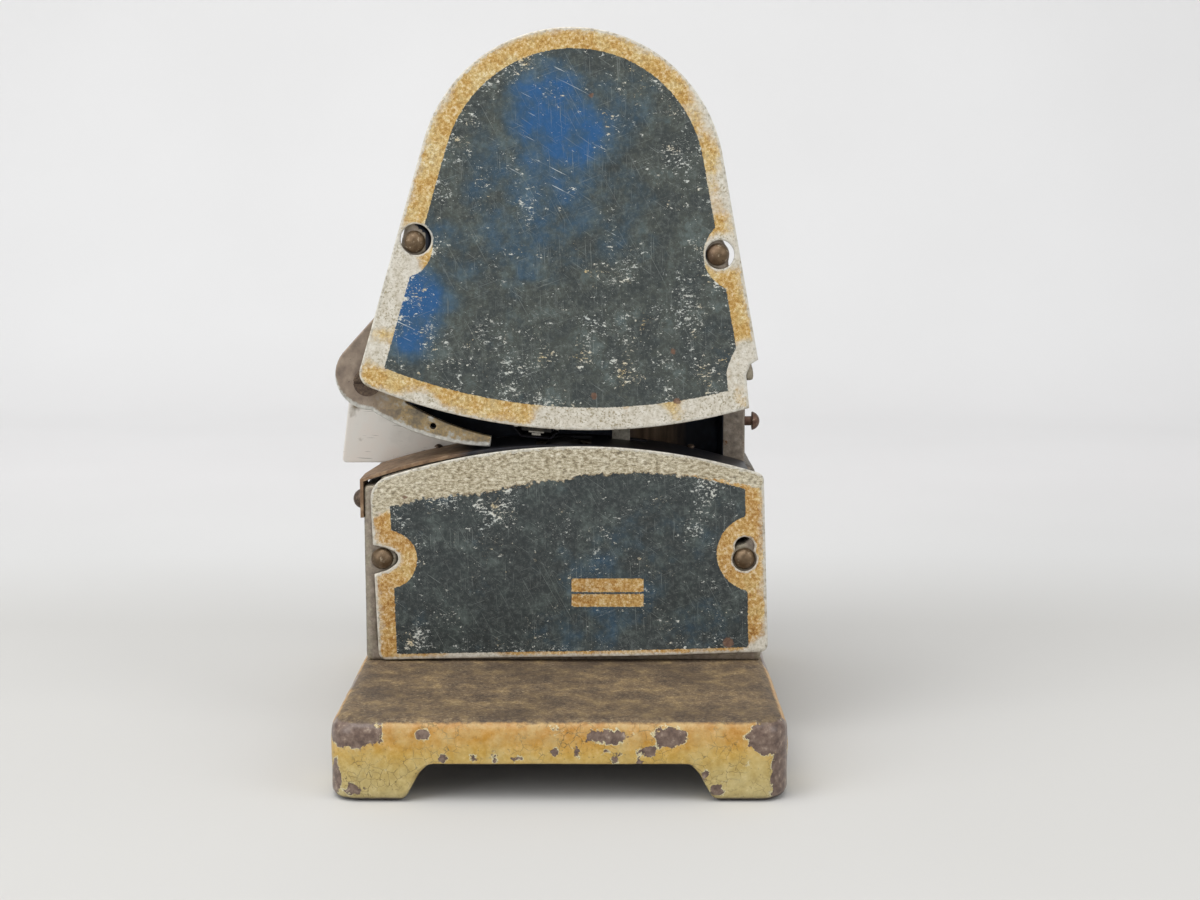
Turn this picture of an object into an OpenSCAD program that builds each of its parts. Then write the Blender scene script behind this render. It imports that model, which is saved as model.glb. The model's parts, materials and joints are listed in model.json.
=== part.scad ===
// Ticket dating machine: a card ticket slides over an arched deck from left
// to right, pushes the catch of a hanging pendulum, and the type at the
// pendulum's end prints through a ribbon while it passes the rubber platen.
// Millimetres. X runs right, Y runs away from the front plates, Z runs up.
// The origin is on the floor, under the middle of all that the machine covers.

/* [Base] */
// Width of the base
base_w = 126.6; // [122:0.2:134]
// Length of the base from the front apron to the back
base_l = 172; // [168:1:186]
// Height of the top of the base
base_h = 23; // [21:0.5:28]
// Thickness of the top wall of the base
base_wall = 9; // [7:0.5:11]
// Width of the skirt round the hollow underside
base_skirt = 8; // [6:0.5:10]
// Radius of the upright corners of the base
base_corner_r = 8; // [6:0.5:12]
// Radius of the rounded top edge of the base
base_edge_r = 4.6; // [3:0.2:5.8]
// Length of each foot along the sides
foot_l = 25; // [20:1:32]
// Width of each foot across the front and the back
foot_w = 20; // [17:0.5:26]
// Radius of the rounded edges under the feet
foot_edge_r = 3; // [2:0.2:4]
// Height of the arches between the feet
arch_h = 10.6; // [8:0.2:12]

/* [Lower housing] */
// Width of the lower housing
housing_w = 121.6; // [119:0.2:124]
// Depth of the lower housing
housing_l = 94.8; // [90:0.2:100]
// Height of the lower housing above the base
housing_h = 57; // [54:1:62]
// Wall of the lower housing
housing_wall = 4; // [3.2:0.2:5]
// Radius of the rounded upper edges of the lower housing
housing_edge_r = 3; // [2:0.2:4]
// Distance from the back of the lower housing to the back of the base
back_ledge = 12; // [9:0.5:16]
// Height of the middle of the ticket deck above the housing's shoulder
deck_rise = 10; // [9.6:0.2:11]
// How far the deck's edge at its tab lies under the housing's shoulder
deck_edge_drop = 0.57; // [0.4:0.01:0.8]
// Thickness of the deck sheet
deck_t = 1; // [0.8:0.1:1.2]

/* [Head] */
// Outer radius of the dome of the head
dome_r = 42.5; // [41:0.5:43]
// Height of the dome's centre above the housing's shoulder
dome_rise = 89.4; // [87:0.2:92]
// Flare of the head's sides in degrees
flare = 13.5; // [12.5:0.5:14]
// Half width over the columns
column_x = 57.5; // [57:0.5:58]
// Thickness of the columns
column_t = 7.4; // [6.8:0.2:8]
// Wall of the dome
dome_wall = 4; // [3.4:0.2:4.6]
// Height of the lower rim of the overhanging head above the shoulder
rim_rise = 29.5; // [28:0.5:31]
// Depth of the ticket throat, from the housing's front to the columns
throat_l = 28.8; // [28:0.2:32]
// Thickness of the web that carries the mechanism
web_t = 4; // [3.5:0.1:5]
// Depth of the head behind the web's front face
head_l = 54; // [50:1:60]

/* [Cover plates] */
// Thickness of the cover plates
plate_t = 1; // [0.8:0.1:1.2]
// Gap between the cover plates and the housings
plate_gap = 0.2; // [0.2:0.05:0.4]
// Radius of the upper plate's dome
cover_dome_r = 45.5; // [44.5:0.25:46]
// Height of that dome's centre above the screw line
cover_dome_rise = 18.3; // [18:0.1:20]
// Lowest point of the upper plate below the screw line
cover_drop = 55.2; // [54.6:0.2:55.4]
// Radius of the upper plate's lower edge
cover_low_r = 175; // [170:1:185]
// How far the upper plate hangs askew, in degrees clockwise
cover_tilt = 3; // [2:0.25:3.5]
// How far the upper plate's middle lies right of the machine's
cover_mid_x = 1.8; // [1:0.1:2.2]
// Height of the upper screw line above the shoulder
cover_screw_rise = 70; // [69:0.5:71]
// Half the distance between the upper screws
cover_screw_x = 45.3; // [44.5:0.1:46]
// How far the line of the upper screws falls to the right, in degrees
screw_tilt = 2.4; // [2:0.1:3]
// Width of the lower plate
lower_plate_w = 120.2; // [119:0.2:121]
// Radius of the lower plate's arched top
lower_plate_r = 186; // [182:1:192]
// Lowest edge of the lower plate below the screw line
lower_plate_drop = 30.3; // [29:0.2:30.6]
// Top of the lower plate above the screw line
lower_plate_rise = 34.7; // [34:0.1:35]
// How far the lower plate hangs askew, in degrees anticlockwise
lower_plate_tilt = 1.2; // [0.6:0.1:1.6]
// How far the lower plate's middle lies right of the machine's
lower_mid_x = 1.7; // [1:0.1:2]
// Height of the lower screw line above the base
lower_screw_rise = 32; // [31.6:0.2:32.6]
// Half the distance between the lower screws
lower_screw_x = 55.3; // [55:0.1:55.5]

/* [Fasteners] */
// Radius of the round heads that hold the cover plates
head_r = 3.4; // [3.2:0.1:3.5]
// Height of those round heads
head_h = 2.6; // [2.2:0.1:3]
// Radius of the shanks of the cover, side and finger screws
shank_r = 2; // [1.8:0.1:2.2]
// Radius of the small screws
small_r = 1.5; // [1.3:0.1:1.6]
// Radius of the structural screws
big_r = 2.5; // [2.2:0.1:2.8]
// Radial clearance of a screw or pin in its hole
fit = 0.05; // [0.03:0.01:0.08]
// Width of a screwdriver slot
slot_w = 0.9; // [0.7:0.1:1.1]

/* [Finger and fence] */
// Distance of the finger's pivot from the middle
finger_x = 59; // [58.5:0.1:59.5]
// Height of the finger's pivot above the shoulder
finger_rise = 29; // [28.6:0.1:29.4]
// Thickness of the finger
finger_t = 2.4; // [2:0.1:2.6]
// Radius of the finger's lower edge
finger_edge_r = 68.5; // [67.5:0.25:69.5]
// Thickness of the fence sheet
fence_t = 1.2; // [1:0.1:1.3]
// Reach of the fence to the left of the middle
fence_x = 71; // [69:0.5:73]

/* [Pendulum] */
// Distance of the pendulum's pivot above the dome's centre
pivot_rise = 18.6; // [17:0.2:20]
// Radius of the pivot shaft
pivot_r = 4; // [3.5:0.1:4.5]
// Thickness of the pendulum arm
arm_t = 3; // [2.6:0.1:3.2]
// Angle by which the type hangs left of the pivot at rest
type_angle = 5; // [4.5:0.25:5.5]
// Gap between the deck and the type at the bottom of its swing
print_gap = 1.6; // [1.5:0.05:1.8]
// Width of the type holder
holder_w = 9; // [8:0.5:10]
// Distance of the ticket catch right of the middle
catch_x = 17.8; // [17.4:0.1:18.2]
// Width of the ticket catch
catch_w = 5.6; // [5.2:0.1:6]
// How far the catch dips below the deck
catch_dip = 0.8; // [0.7:0.05:0.9]
// Swing of the pendulum in degrees
swing = 14; // [12:1:14]

/* [Ribbon and platen] */
// Distance of each spool from the middle
spool_x = 22.6; // [22:0.2:23]
// Height of the spools above the shoulder
spool_rise = 70; // [69:0.5:71]
// Radius of the spool flanges
spool_r = 16; // [15:0.25:16.5]
// Radius of the wound ribbon
wound_r = 12; // [11:0.25:13]
// Width of the ribbon
ribbon_w = 13; // [12.6:0.1:13.2]
// Thickness of the ribbon
ribbon_t = 0.3; // [0.25:0.01:0.35]
// Radius of the platen roller
platen_r = 8; // [7.5:0.1:8.2]
// Wire radius of the return spring
wire_r = 0.3; // [0.25:0.01:0.35]
// Mean radius of the spring's coil
coil_r = 1.6; // [1.5:0.05:1.7]
// Number of turns of the return spring
coil_turns = 16; // [12:1:18]

/* [Hidden] */
$fn = 48;

// Small overlap that joins solids drawn in two parts
eps = 0.02;
// Air between parts that move past each other
air = 0.3;
// Air under the deck sheet where it lies on its ribs
seat_gap = 0.1;

// The machine's middle lies this far right of the origin, which is in the
// middle of all that it covers, the fence included
machine_x = (fence_x - base_w / 2) / 2;

front_y = base_l / 2 - back_ledge - housing_l;
web_y = front_y + throat_l;
head_back_y = web_y + head_l;
housing_back_y = front_y + housing_l;
shoulder_z = base_h + housing_h;
deck_z = shoulder_z + deck_rise;
deck_sag = deck_rise + deck_edge_drop;
deck_r = (pow(housing_w / 2 + deck_t, 2) + deck_sag * deck_sag) / (2 * deck_sag);
rim_z = shoulder_z + rim_rise;
dome_z = shoulder_z + dome_rise;
pivot_z = dome_z + pivot_rise;
plate_back_y = front_y - plate_gap;
plate_front_y = plate_back_y - plate_t;
cover_z = shoulder_z + cover_screw_rise;
lower_z = base_h + lower_screw_rise;
side_x = housing_w / 2;

// Lower edge of the web over the throat, and the wall behind the throat
web_low_z = shoulder_z + 19;
throat_wall_y = web_y + 22;
throat_wall_t = 3;
throat_wall_top = shoulder_z + 24;

// Heights and places along Y in the mechanism
arm_back_y = web_y - 3;
arm_y = arm_back_y - arm_t;
ribbon_back_y = arm_y - 3.6;
ribbon_y = ribbon_back_y - ribbon_w;
flange_t = 1.2;
spool_front_y = ribbon_y - 0.5 - flange_t;
spool_back_y = ribbon_back_y + 0.5 + flange_t;
holder_y = ribbon_y - 0.6;
type_r = pivot_z - deck_z - print_gap;
spool_z = shoulder_z + spool_rise;
pivot_front_y = ribbon_y + 2;
finger_z = shoulder_z + finger_rise;
ear_y = plate_back_y + 5.6;
finger_front_y = ear_y - air - finger_t;

// Height of the deck's top at a distance x from the middle
function deck_top(x) = deck_z - deck_r + sqrt(deck_r * deck_r - x * x);
// A point turned about the pivot, positive towards the right at the bottom
function swung(x, z, a) =
    [x * cos(a) - (z - pivot_z) * sin(a), pivot_z + x * sin(a) + (z - pivot_z) * cos(a)];

// Sets the machine over the origin
module centred() {
    translate([machine_x, 0, 0]) children();
}

// Solid between two places along Y, drawn from an outline in X and Z
module along_y(y0, y1) {
    translate([0, y1, 0]) rotate([90, 0, 0]) linear_extrude(y1 - y0) children();
}

// Round bar along Y
module bar_y(x, z, y0, y1, r) {
    translate([x, y0, z]) rotate([-90, 0, 0]) cylinder(r = r, h = y1 - y0);
}

// Upright round bar
module bar_z(x, y, z0, z1, r) {
    translate([x, y, z0]) cylinder(r = r, h = z1 - z0);
}

// Both sides of the machine
module both_sides() {
    for (side = [-1, 1]) scale([side, 1, 1]) children();
}

// Stud with a domed head, head upwards, shank below zero
module stud(hr, hh, sr, sl) {
    ball = (hr * hr + hh * hh) / (2 * hh);
    intersection() {
        translate([0, 0, hh - ball]) sphere(r = ball);
        cylinder(r = hr, h = hh);
    }
    translate([0, 0, -sl]) cylinder(r = sr, h = sl + eps);
}

// The same with a slot in its head
module round_screw(hr, hh, sr, sl) {
    difference() {
        stud(hr, hh, sr, sl);
        translate([-hr - 1, -slot_w / 2, hh * 0.62]) cube([2 * hr + 2, slot_w, hh]);
    }
}

// Screw with a flat slotted head, head upwards, shank below zero
module cheese_screw(hr, hh, sr, sl) {
    difference() {
        union() {
            cylinder(r = hr, h = hh);
            translate([0, 0, -sl]) cylinder(r = sr, h = sl + eps);
        }
        translate([-hr - 1, -slot_w / 2, hh * 0.55]) cube([2 * hr + 2, slot_w, hh]);
    }
}

// Places that face the reader, the back, the left and the right
module facing_front(x, y, z) translate([x, y, z]) rotate([90, 0, 0]) children();
module facing_back(x, y, z) translate([x, y, z]) rotate([-90, 0, 0]) children();
module facing_left(x, y, z) translate([x, y, z]) rotate([0, -90, 0]) children();
module facing_right(x, y, z) translate([x, y, z]) rotate([0, 90, 0]) children();

// Base

base_screw_ys = [front_y + 12.8, housing_back_y - 12];
base_head_r = 4.2;
base_head_h = 3.2;
base_screw_x = base_w / 2 - base_skirt - base_head_r - 1;
base_hole_r = big_r + 0.3;
boss_r = 5.5;
boss_h = 12;

// Upright corner post with rounded edges at its top and its foot
module corner_post() {
    rotate_extrude($fn = 32) intersection() {
        square([base_corner_r, base_h]);
        hull() {
            square([base_corner_r - foot_edge_r, eps]);
            translate([base_corner_r - foot_edge_r, foot_edge_r]) circle(r = foot_edge_r);
            translate([base_corner_r - base_edge_r, base_h - base_edge_r]) circle(r = base_edge_r);
            square([eps, base_h]);
        }
    }
}

// Opening between two feet, from the floor up, with leaning ends and
// rounded corners
module arch_outline(span) {
    lean = 5;
    knee = 2.5;
    offset(r = -foot_edge_r, $fn = 32) offset(delta = foot_edge_r) {
        polygon([[-span / 2, -1], [-span / 2 + lean, arch_h - knee], [-span / 2 + lean + knee, arch_h],
            [span / 2 - lean - knee, arch_h], [span / 2 - lean, arch_h - knee], [span / 2, -1]]);
        translate([-span / 2 - 2 * foot_edge_r, -3 * foot_edge_r])
            square([span + 4 * foot_edge_r, 3 * foot_edge_r - eps]);
    }
}

module base_casting() {
    color("#b08a3a") difference() {
        hull() for (sx = [-1, 1], sy = [-1, 1])
            translate([sx * (base_w / 2 - base_corner_r), sy * (base_l / 2 - base_corner_r), 0])
                corner_post();
        translate([-base_w / 2 + base_skirt, -base_l / 2 + base_skirt, -1])
            cube([base_w - 2 * base_skirt, base_l - 2 * base_skirt, base_h - base_wall + 1]);
        along_y(-base_l / 2 - 1, base_l / 2 + 1) arch_outline(base_w - 2 * foot_w);
        rotate([0, 0, 90]) along_y(-base_w / 2 - 1, base_w / 2 + 1) arch_outline(base_l - 2 * foot_l);
        both_sides() for (y = base_screw_ys)
            bar_z(base_screw_x, y, base_h - base_wall - 1, base_h + 1, base_hole_r);
    }
}

module base_screws() {
    color("#5b5148") both_sides() for (y = base_screw_ys) translate([base_screw_x, y, base_h - base_wall])
        rotate([180, 0, 0]) cheese_screw(base_head_r, base_head_h, big_r, base_wall + boss_h - 2);
}

// Lower housing

shelf_z = base_h + 33;
shelf_t = 4;
shelf_y1 = web_y - 2;
rib_t = 2;
rib_back_y = web_y - 4.8;
rib_back_t = 3;
adjuster_y = front_y + 12.7;
adjuster_r = 3;
bracket_screw_x = 9;
lower_rear_xs = side_x - 8.5;
lower_rear_zs = [base_h + 9, shoulder_z - 9];
rear_boss_r = 5.4;
frame_screw_x = 43;
frame_screw_ys = [web_y + 32, web_y + 47];
top_open_x = 48;
// The front of the housing's top lies lower, so that the deck seats level
deck_seat_drop = 2.2;
deck_screw_x = 40;
deck_screw_z = shoulder_z - 7.4;
deck_tab_l = 12;
deck_side_y = front_y + deck_tab_l / 2;
deck_right_x = column_x - 0.5;

// Arched outline of a rib that carries the deck, from a low edge up
module deck_support(low) {
    support_x = side_x - housing_edge_r - 2;
    intersection() {
        translate([0, deck_z - deck_r]) circle(r = deck_r - deck_t - seat_gap, $fn = 240);
        translate([-support_x, low]) square([2 * support_x, deck_z - low]);
    }
}

// Outline of the lower housing, with rounded upper edges
module housing_outline() {
    edge_x = side_x - housing_edge_r;
    translate([-side_x, base_h]) square([housing_w, housing_h - housing_edge_r]);
    translate([-edge_x, base_h]) square([2 * edge_x, housing_h]);
    for (side = [-1, 1]) translate([side * edge_x, shoulder_z - housing_edge_r]) circle(r = housing_edge_r);
}

module lower_housing() {
    wall = housing_wall;
    color("#6b6459") difference() {
        union() {
            difference() {
                along_y(front_y, housing_back_y) housing_outline();
                along_y(front_y - 1, housing_back_y + 1) translate([-side_x + wall, base_h + wall])
                    square([housing_w - 2 * wall, housing_h - 2 * wall]);
                translate([-top_open_x, front_y - 1, shoulder_z - wall - 1])
                    cube([2 * top_open_x, rib_back_y - front_y + 1, wall + 2]);
                translate([-side_x - 1, front_y - 1, shoulder_z - deck_seat_drop])
                    cube([housing_w + 2, rib_back_y + rib_back_t - front_y + 1 + eps, deck_seat_drop + 1]);
            }
            along_y(front_y, front_y + rib_t) deck_support(shoulder_z - 6);
            along_y(rib_back_y, rib_back_y + rib_back_t) deck_support(shoulder_z - wall);
            translate([-side_x + wall - eps, front_y + 3, shelf_z])
                cube([housing_w - 2 * wall + 2 * eps, shelf_y1 - front_y - 3, shelf_t]);
            both_sides() {
                bar_y(lower_screw_x, lower_z, front_y, front_y + 15, 5);
                for (z = lower_rear_zs)
                    bar_y(lower_rear_xs, z, housing_back_y - 12, housing_back_y, rear_boss_r);
                for (y = base_screw_ys) bar_z(base_screw_x, y, base_h + 1, base_h + boss_h, boss_r);
                for (y = frame_screw_ys) bar_z(frame_screw_x, y, shoulder_z - 12, shoulder_z - 1, 5);
            }
        }
        both_sides() {
            bar_y(lower_screw_x, lower_z, front_y - 1, front_y + 13, shank_r + fit);
            for (z = lower_rear_zs)
                bar_y(lower_rear_xs, z, housing_back_y - 10, housing_back_y + 1, small_r + fit);
            for (y = base_screw_ys) bar_z(base_screw_x, y, base_h - 1, base_h + boss_h - 1, big_r + fit);
            for (y = frame_screw_ys) bar_z(frame_screw_x, y, shoulder_z - 11, shoulder_z + 1, big_r + fit);
            bar_z(bracket_screw_x, adjuster_y, shelf_z - 1, shelf_z + shelf_t + 1, small_r + fit);
            bar_z(deck_screw_x, rib_back_y + rib_back_t / 2, deck_top(deck_screw_x) - 8, deck_z, 0.9);
        }
        bar_z(0, adjuster_y, shelf_z - 1, shelf_z + shelf_t + 1, adjuster_r + fit);
        facing_left(-side_x + wall + 1, deck_side_y, deck_screw_z) cylinder(r = small_r + fit, h = wall + 2);
    }
}

// Upper frame: the dome, the columns and the web in one casting

flare_x = dome_r * cos(flare);
flare_z = dome_z + dome_r * sin(flare);
cover_screw_mid = [1.1, cover_z - 0.7];
cover_screw_points = [for (side = [-1, 1])
    cover_screw_mid + side * cover_screw_x * [cos(screw_tilt), -sin(screw_tilt)]];
rear_screw_points = [[0, dome_z + dome_r - 5.5], [-43.5, dome_z - 20], [43.5, dome_z - 20],
    [-column_x + column_t / 2, shoulder_z + 12], [column_x - column_t / 2, shoulder_z + 12]];
stop_r = 2.5;
stop_y = arm_y + 0.2;
arm_low_z = shoulder_z + 24;
arm_high_z = shoulder_z + 32;
arm_left_x = 14;
arm_right_x = catch_x + catch_w / 2 + 0.8;
rest_stop = [-arm_left_x - stop_r - air, arm_low_z + 5];
swing_edge = swung(arm_right_x, arm_low_z + 4, swing);
swing_stop = [swing_edge[0] + (stop_r + air) * cos(swing), swing_edge[1] + (stop_r + air) * sin(swing)];
anchor_point = [-44, shoulder_z + 38];
hook_point = [-9, shoulder_z + 42];
fence_screw_points = [[-column_x + column_t / 2, rim_z - 3.6], [-30, web_low_z + 4.3]];
side_screw_y = web_y + 3.6;
side_screw_z = shoulder_z + 13.4;
nut_recess_r = 6.4;

// Outline of the head and columns, drawn in from the outer face by d
module head_outline(d) {
    edge_x = (dome_r - d) * cos(flare);
    edge_z = dome_z + (dome_r - d) * sin(flare);
    knee_z = edge_z - (column_x - d - edge_x) / tan(flare);
    translate([0, dome_z]) circle(r = dome_r - d, $fn = 96);
    polygon([[-edge_x, edge_z], [-column_x + d, knee_z], [-column_x + d, shoulder_z],
        [column_x - d, shoulder_z], [column_x - d, knee_z], [edge_x, edge_z]]);
}

// The part of an outline above a height
module above(z) {
    intersection() {
        children();
        translate([-100, z]) square([200, 300]);
    }
}

// The part of an outline below a height
module below(z) {
    intersection() {
        children();
        translate([-100, z - 300]) square([200, 300]);
    }
}

// Hollow of the head: thick columns below, a thinner dome above
module head_hollow() {
    below(rim_z + eps) head_outline(column_t);
    above(rim_z) head_outline(dome_wall);
}

module upper_frame() {
    color("#6b6459") difference() {
        union() {
            difference() {
                along_y(front_y, web_y + eps) above(rim_z) head_outline(0);
                along_y(front_y - 1, web_y + 1) head_outline(dome_wall - 1);
            }
            difference() {
                along_y(web_y, head_back_y) head_outline(0);
                along_y(web_y - 1, head_back_y + 1) head_hollow();
            }
            along_y(web_y, web_y + web_t) above(web_low_z) head_outline(1);
            along_y(throat_wall_y, throat_wall_y + throat_wall_t) below(throat_wall_top) head_outline(1);
            intersection() {
                union() {
                    for (p = cover_screw_points) bar_y(p[0], p[1], front_y, front_y + 15, 5);
                    for (p = rear_screw_points) bar_y(p[0], p[1], head_back_y - 12, head_back_y, 4.5);
                }
                along_y(front_y, head_back_y) head_outline(0);
            }
            finger_ear();
            both_sides() translate([frame_screw_x - 6, throat_wall_y + throat_wall_t - eps, shoulder_z])
                cube([column_x - column_t - frame_screw_x + 7,
                    head_back_y - throat_wall_y - throat_wall_t - 2, 4]);
        }
        along_y(front_y - 1, ear_y) polygon([[-80, rim_z - 20], [-finger_x + 18, rim_z - 20],
            [-finger_x + 18, finger_z + 19], [-finger_x + 13, finger_z + 29], [-80, finger_z + 29]]);
        for (p = cover_screw_points) bar_y(p[0], p[1], front_y - 1, front_y + 13, shank_r + fit);
        for (p = rear_screw_points) bar_y(p[0], p[1], head_back_y - 10, head_back_y + 1, small_r + fit);
        for (p = fence_screw_points) bar_y(p[0], p[1], web_y - 1, web_y + web_t + 1, small_r + fit);
        for (p = [rest_stop, swing_stop, anchor_point])
            bar_y(p[0], p[1], web_y - 1, web_y + web_t + 1, small_r + fit);
        both_sides() bar_y(spool_x, spool_z, web_y - 1, web_y + web_t + 1, shank_r + fit);
        bar_y(0, pivot_z, web_y - 1, web_y + web_t + 1, pivot_r + fit);
        bar_y(-finger_x, finger_z, ear_y - 1, ear_y + 8, shank_r + fit);
        both_sides() for (y = frame_screw_ys)
            bar_z(frame_screw_x, y, shoulder_z - 1, shoulder_z + 5, big_r + fit);
        facing_right(column_x - column_t - 1, side_screw_y, side_screw_z)
            cylinder(r = small_r + fit, h = column_t + 2);
    }
}

// Ear at the lower left of the head that carries the finger
module finger_ear() {
    ear_r = 5.5;
    ear_t = 7;
    root_x = -column_x + 1;
    root_w = 4;
    root_rise = 15;
    along_y(ear_y, ear_y + ear_t) {
        translate([-finger_x, finger_z]) circle(r = ear_r);
        polygon([[-finger_x - 0.73 * ear_r, finger_z + 0.69 * ear_r], [root_x, finger_z + root_rise],
            [root_x + root_w, finger_z + root_rise], [root_x + root_w / 2, finger_z],
            [-finger_x, finger_z - ear_r]]);
    }
}

module frame_screws() {
    color("#5b5148") both_sides() for (y = frame_screw_ys) translate([frame_screw_x, y, shoulder_z + 4])
        cheese_screw(4, 3, big_r, 14);
}

// Deck, fence and their screws

// The deck narrows to the left behind its tab, seen from above
module deck_side_cut() {
    tab_back_y = front_y + deck_tab_l + 0.2;
    deck_back_y = rib_back_y + rib_back_t + 1;
    polygon([[-side_x - 2, tab_back_y], [-side_x - deck_t, tab_back_y],
        [-side_x + housing_edge_r, deck_back_y], [-side_x - 2, deck_back_y]]);
}

module ticket_deck() {
    slot_x0 = catch_x - catch_w / 2 - 0.6;
    slot_x1 = catch_x + catch_w / 2 + 5.6;
    color("#7a5b48") difference() {
        union() {
            along_y(front_y + 0.2, rib_back_y + rib_back_t) difference() {
                intersection() {
                    translate([0, deck_z - deck_r]) circle(r = deck_r, $fn = 240);
                    translate([-side_x - deck_t, shoulder_z - 3])
                        square([side_x + deck_t + deck_right_x, 20]);
                }
                translate([0, deck_z - deck_r]) circle(r = deck_r - deck_t, $fn = 240);
            }
            translate([-side_x - deck_t, front_y + 0.2, deck_screw_z - 5])
                cube([deck_t, deck_tab_l, deck_top(side_x + deck_t) - deck_screw_z + 4.6]);
        }
        translate([0, 0, shoulder_z - 4]) linear_extrude(20) deck_side_cut();
        translate([-platen_r - 0.6, front_y + rib_t + 0.6, deck_z - 10])
            cube([2 * platen_r + 1.2, ribbon_back_y - front_y - rib_t + 2.2, 20]);
        translate([slot_x0, arm_y - 3.6, deck_z - 12]) cube([slot_x1 - slot_x0, 4.4, 20]);
        both_sides() bar_z(deck_screw_x, rib_back_y + rib_back_t / 2, deck_z - 20, deck_z + 1, 0.9);
        facing_left(-side_x + 1, deck_side_y, deck_screw_z) cylinder(r = small_r + fit, h = 4);
    }
}

module deck_screws() {
    color("#7d6a5a") {
        facing_left(-side_x - deck_t, deck_side_y, deck_screw_z) stud(3.1, 2.8, small_r, 4.5);
        both_sides() translate([deck_screw_x, rib_back_y + rib_back_t / 2, deck_top(deck_screw_x) + 0.4])
            round_screw(1.4, 0.8, 0.9 - fit, 6);
    }
}

// The fence reaches up to the web in a strip of its own, over an opening
// that the finger covers
module fence_outline() {
    corner_r = 1.2;
    low = shoulder_z + 0.6;
    strip_low = web_low_z + 1.4;
    strip_high = web_low_z + 7.2;
    right = -24;
    offset(r = corner_r, $fn = 24) offset(delta = -corner_r)
        polygon([[-fence_x, low], [-fence_x + 2.6, shoulder_z + 21], [-column_x - 1, rim_z - air],
            [-45, rim_z - air], [-43, strip_high], [right, strip_high], [right, strip_low],
            [-51, strip_low], [-53, shoulder_z + 17], [-48.7, shoulder_z + 14.9],
            [-41.4, shoulder_z + 11.5], [-33, shoulder_z + 8.9], [right, shoulder_z + 7.4], [right, low]]);
}

module ticket_fence() {
    color("#b9b4ac") difference() {
        along_y(web_y - fence_t, web_y) fence_outline();
        for (p = fence_screw_points) bar_y(p[0], p[1], web_y - 3, web_y + 1, small_r + fit);
    }
}

module fence_screws() {
    color("#7d6a5a") for (p = fence_screw_points)
        facing_front(p[0], web_y - fence_t, p[1]) cheese_screw(2.8, 1, small_r, fence_t + web_t);
}

module side_screw() {
    color("#7d6a5a") facing_right(column_x + 2.3, side_screw_y, side_screw_z)
        stud(3, 2.5, small_r, column_t + 1.5);
}

// Cover screws and rear covers

module upper_cover_screws() {
    color("#7d6a5a") for (p = cover_screw_points) facing_front(p[0], front_y, p[1])
        stud(head_r, head_h, shank_r, 12);
}

module lower_cover_screws() {
    color("#7d6a5a") for (side = [-1, 1]) facing_front(side * lower_screw_x, front_y, lower_z)
        stud(head_r, head_h, shank_r, 12);
}

rear_t = 1.5;

module rear_cover() {
    color("#56504a") difference() {
        along_y(head_back_y, head_back_y + rear_t) above(shoulder_z + 1) head_outline(0.8);
        for (p = rear_screw_points)
            bar_y(p[0], p[1], head_back_y - 1, head_back_y + rear_t + 1, small_r + fit);
    }
}

module rear_cover_screws() {
    color("#7d6a5a") for (p = rear_screw_points)
        facing_back(p[0], head_back_y + rear_t, p[1]) round_screw(2.9, 2, small_r, 9.5);
}

module lower_rear_cover() {
    color("#56504a") difference() {
        along_y(housing_back_y, housing_back_y + rear_t) translate([-side_x + 1.5, base_h + 1.5])
            square([housing_w - 3, housing_h - 3]);
        both_sides() for (z = lower_rear_zs)
            bar_y(lower_rear_xs, z, housing_back_y - 1, housing_back_y + rear_t + 1, small_r + fit);
    }
}

module lower_rear_screws() {
    color("#7d6a5a") both_sides() for (z = lower_rear_zs)
        facing_back(lower_rear_xs, housing_back_y + rear_t, z) round_screw(2.9, 2, small_r, 9.5);
}

// Pivot, spool posts, stops and the return spring

nut_r = 7;
hub_r = 10;
arm_half = 7;
bush_r = pivot_r + 2;
bush_front_y = pivot_front_y + 3.4;

module pivot_shaft() {
    color("#8f8a80") {
        bar_y(0, pivot_z, pivot_front_y, web_y + web_t + 8, pivot_r);
        bar_y(0, pivot_z, web_y - 1.5, web_y, pivot_r + 2.5);
    }
}

module pivot_nut() {
    color("#7d6a5a") difference() {
        facing_back(0, web_y + web_t, pivot_z) cylinder(r = nut_r, h = 5, $fn = 6);
        bar_y(0, pivot_z, web_y, web_y + web_t + 6, pivot_r + fit);
    }
}

module pivot_collar() {
    color("#8f8a80") difference() {
        bar_y(0, pivot_z, pivot_front_y + 0.2, bush_front_y - air, pivot_r + 2.5);
        bar_y(0, pivot_z, pivot_front_y - 1, bush_front_y, pivot_r + fit);
    }
}

module spool_posts() {
    color("#8f8a80") both_sides() {
        bar_y(spool_x, spool_z, spool_front_y - 2, web_y + web_t, shank_r);
        bar_y(spool_x, spool_z, web_y - 4.5, web_y, shank_r + 1.5);
    }
}

module spool_collars() {
    color("#8f8a80") both_sides() difference() {
        bar_y(spool_x, spool_z, spool_front_y - 1.8, spool_front_y - air, 3.6);
        bar_y(spool_x, spool_z, spool_front_y - 3, spool_front_y, shank_r + fit);
    }
}

module swing_stops() {
    color("#3a3835") for (p = [rest_stop, swing_stop]) {
        bar_y(p[0], p[1], stop_y, web_y, stop_r);
        bar_y(p[0], p[1], web_y - 1, web_y + web_t, small_r);
    }
}

anchor_r = 1;
hook_y = arm_y - 1.1;

module spring_anchor() {
    color("#8f8a80") {
        bar_y(anchor_point[0], anchor_point[1], hook_y - 1.4, web_y - eps, anchor_r);
        bar_y(anchor_point[0], anchor_point[1], web_y - 1.4, web_y, 2.6);
        bar_y(anchor_point[0], anchor_point[1], web_y - 1, web_y + web_t, small_r);
    }
}

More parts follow.
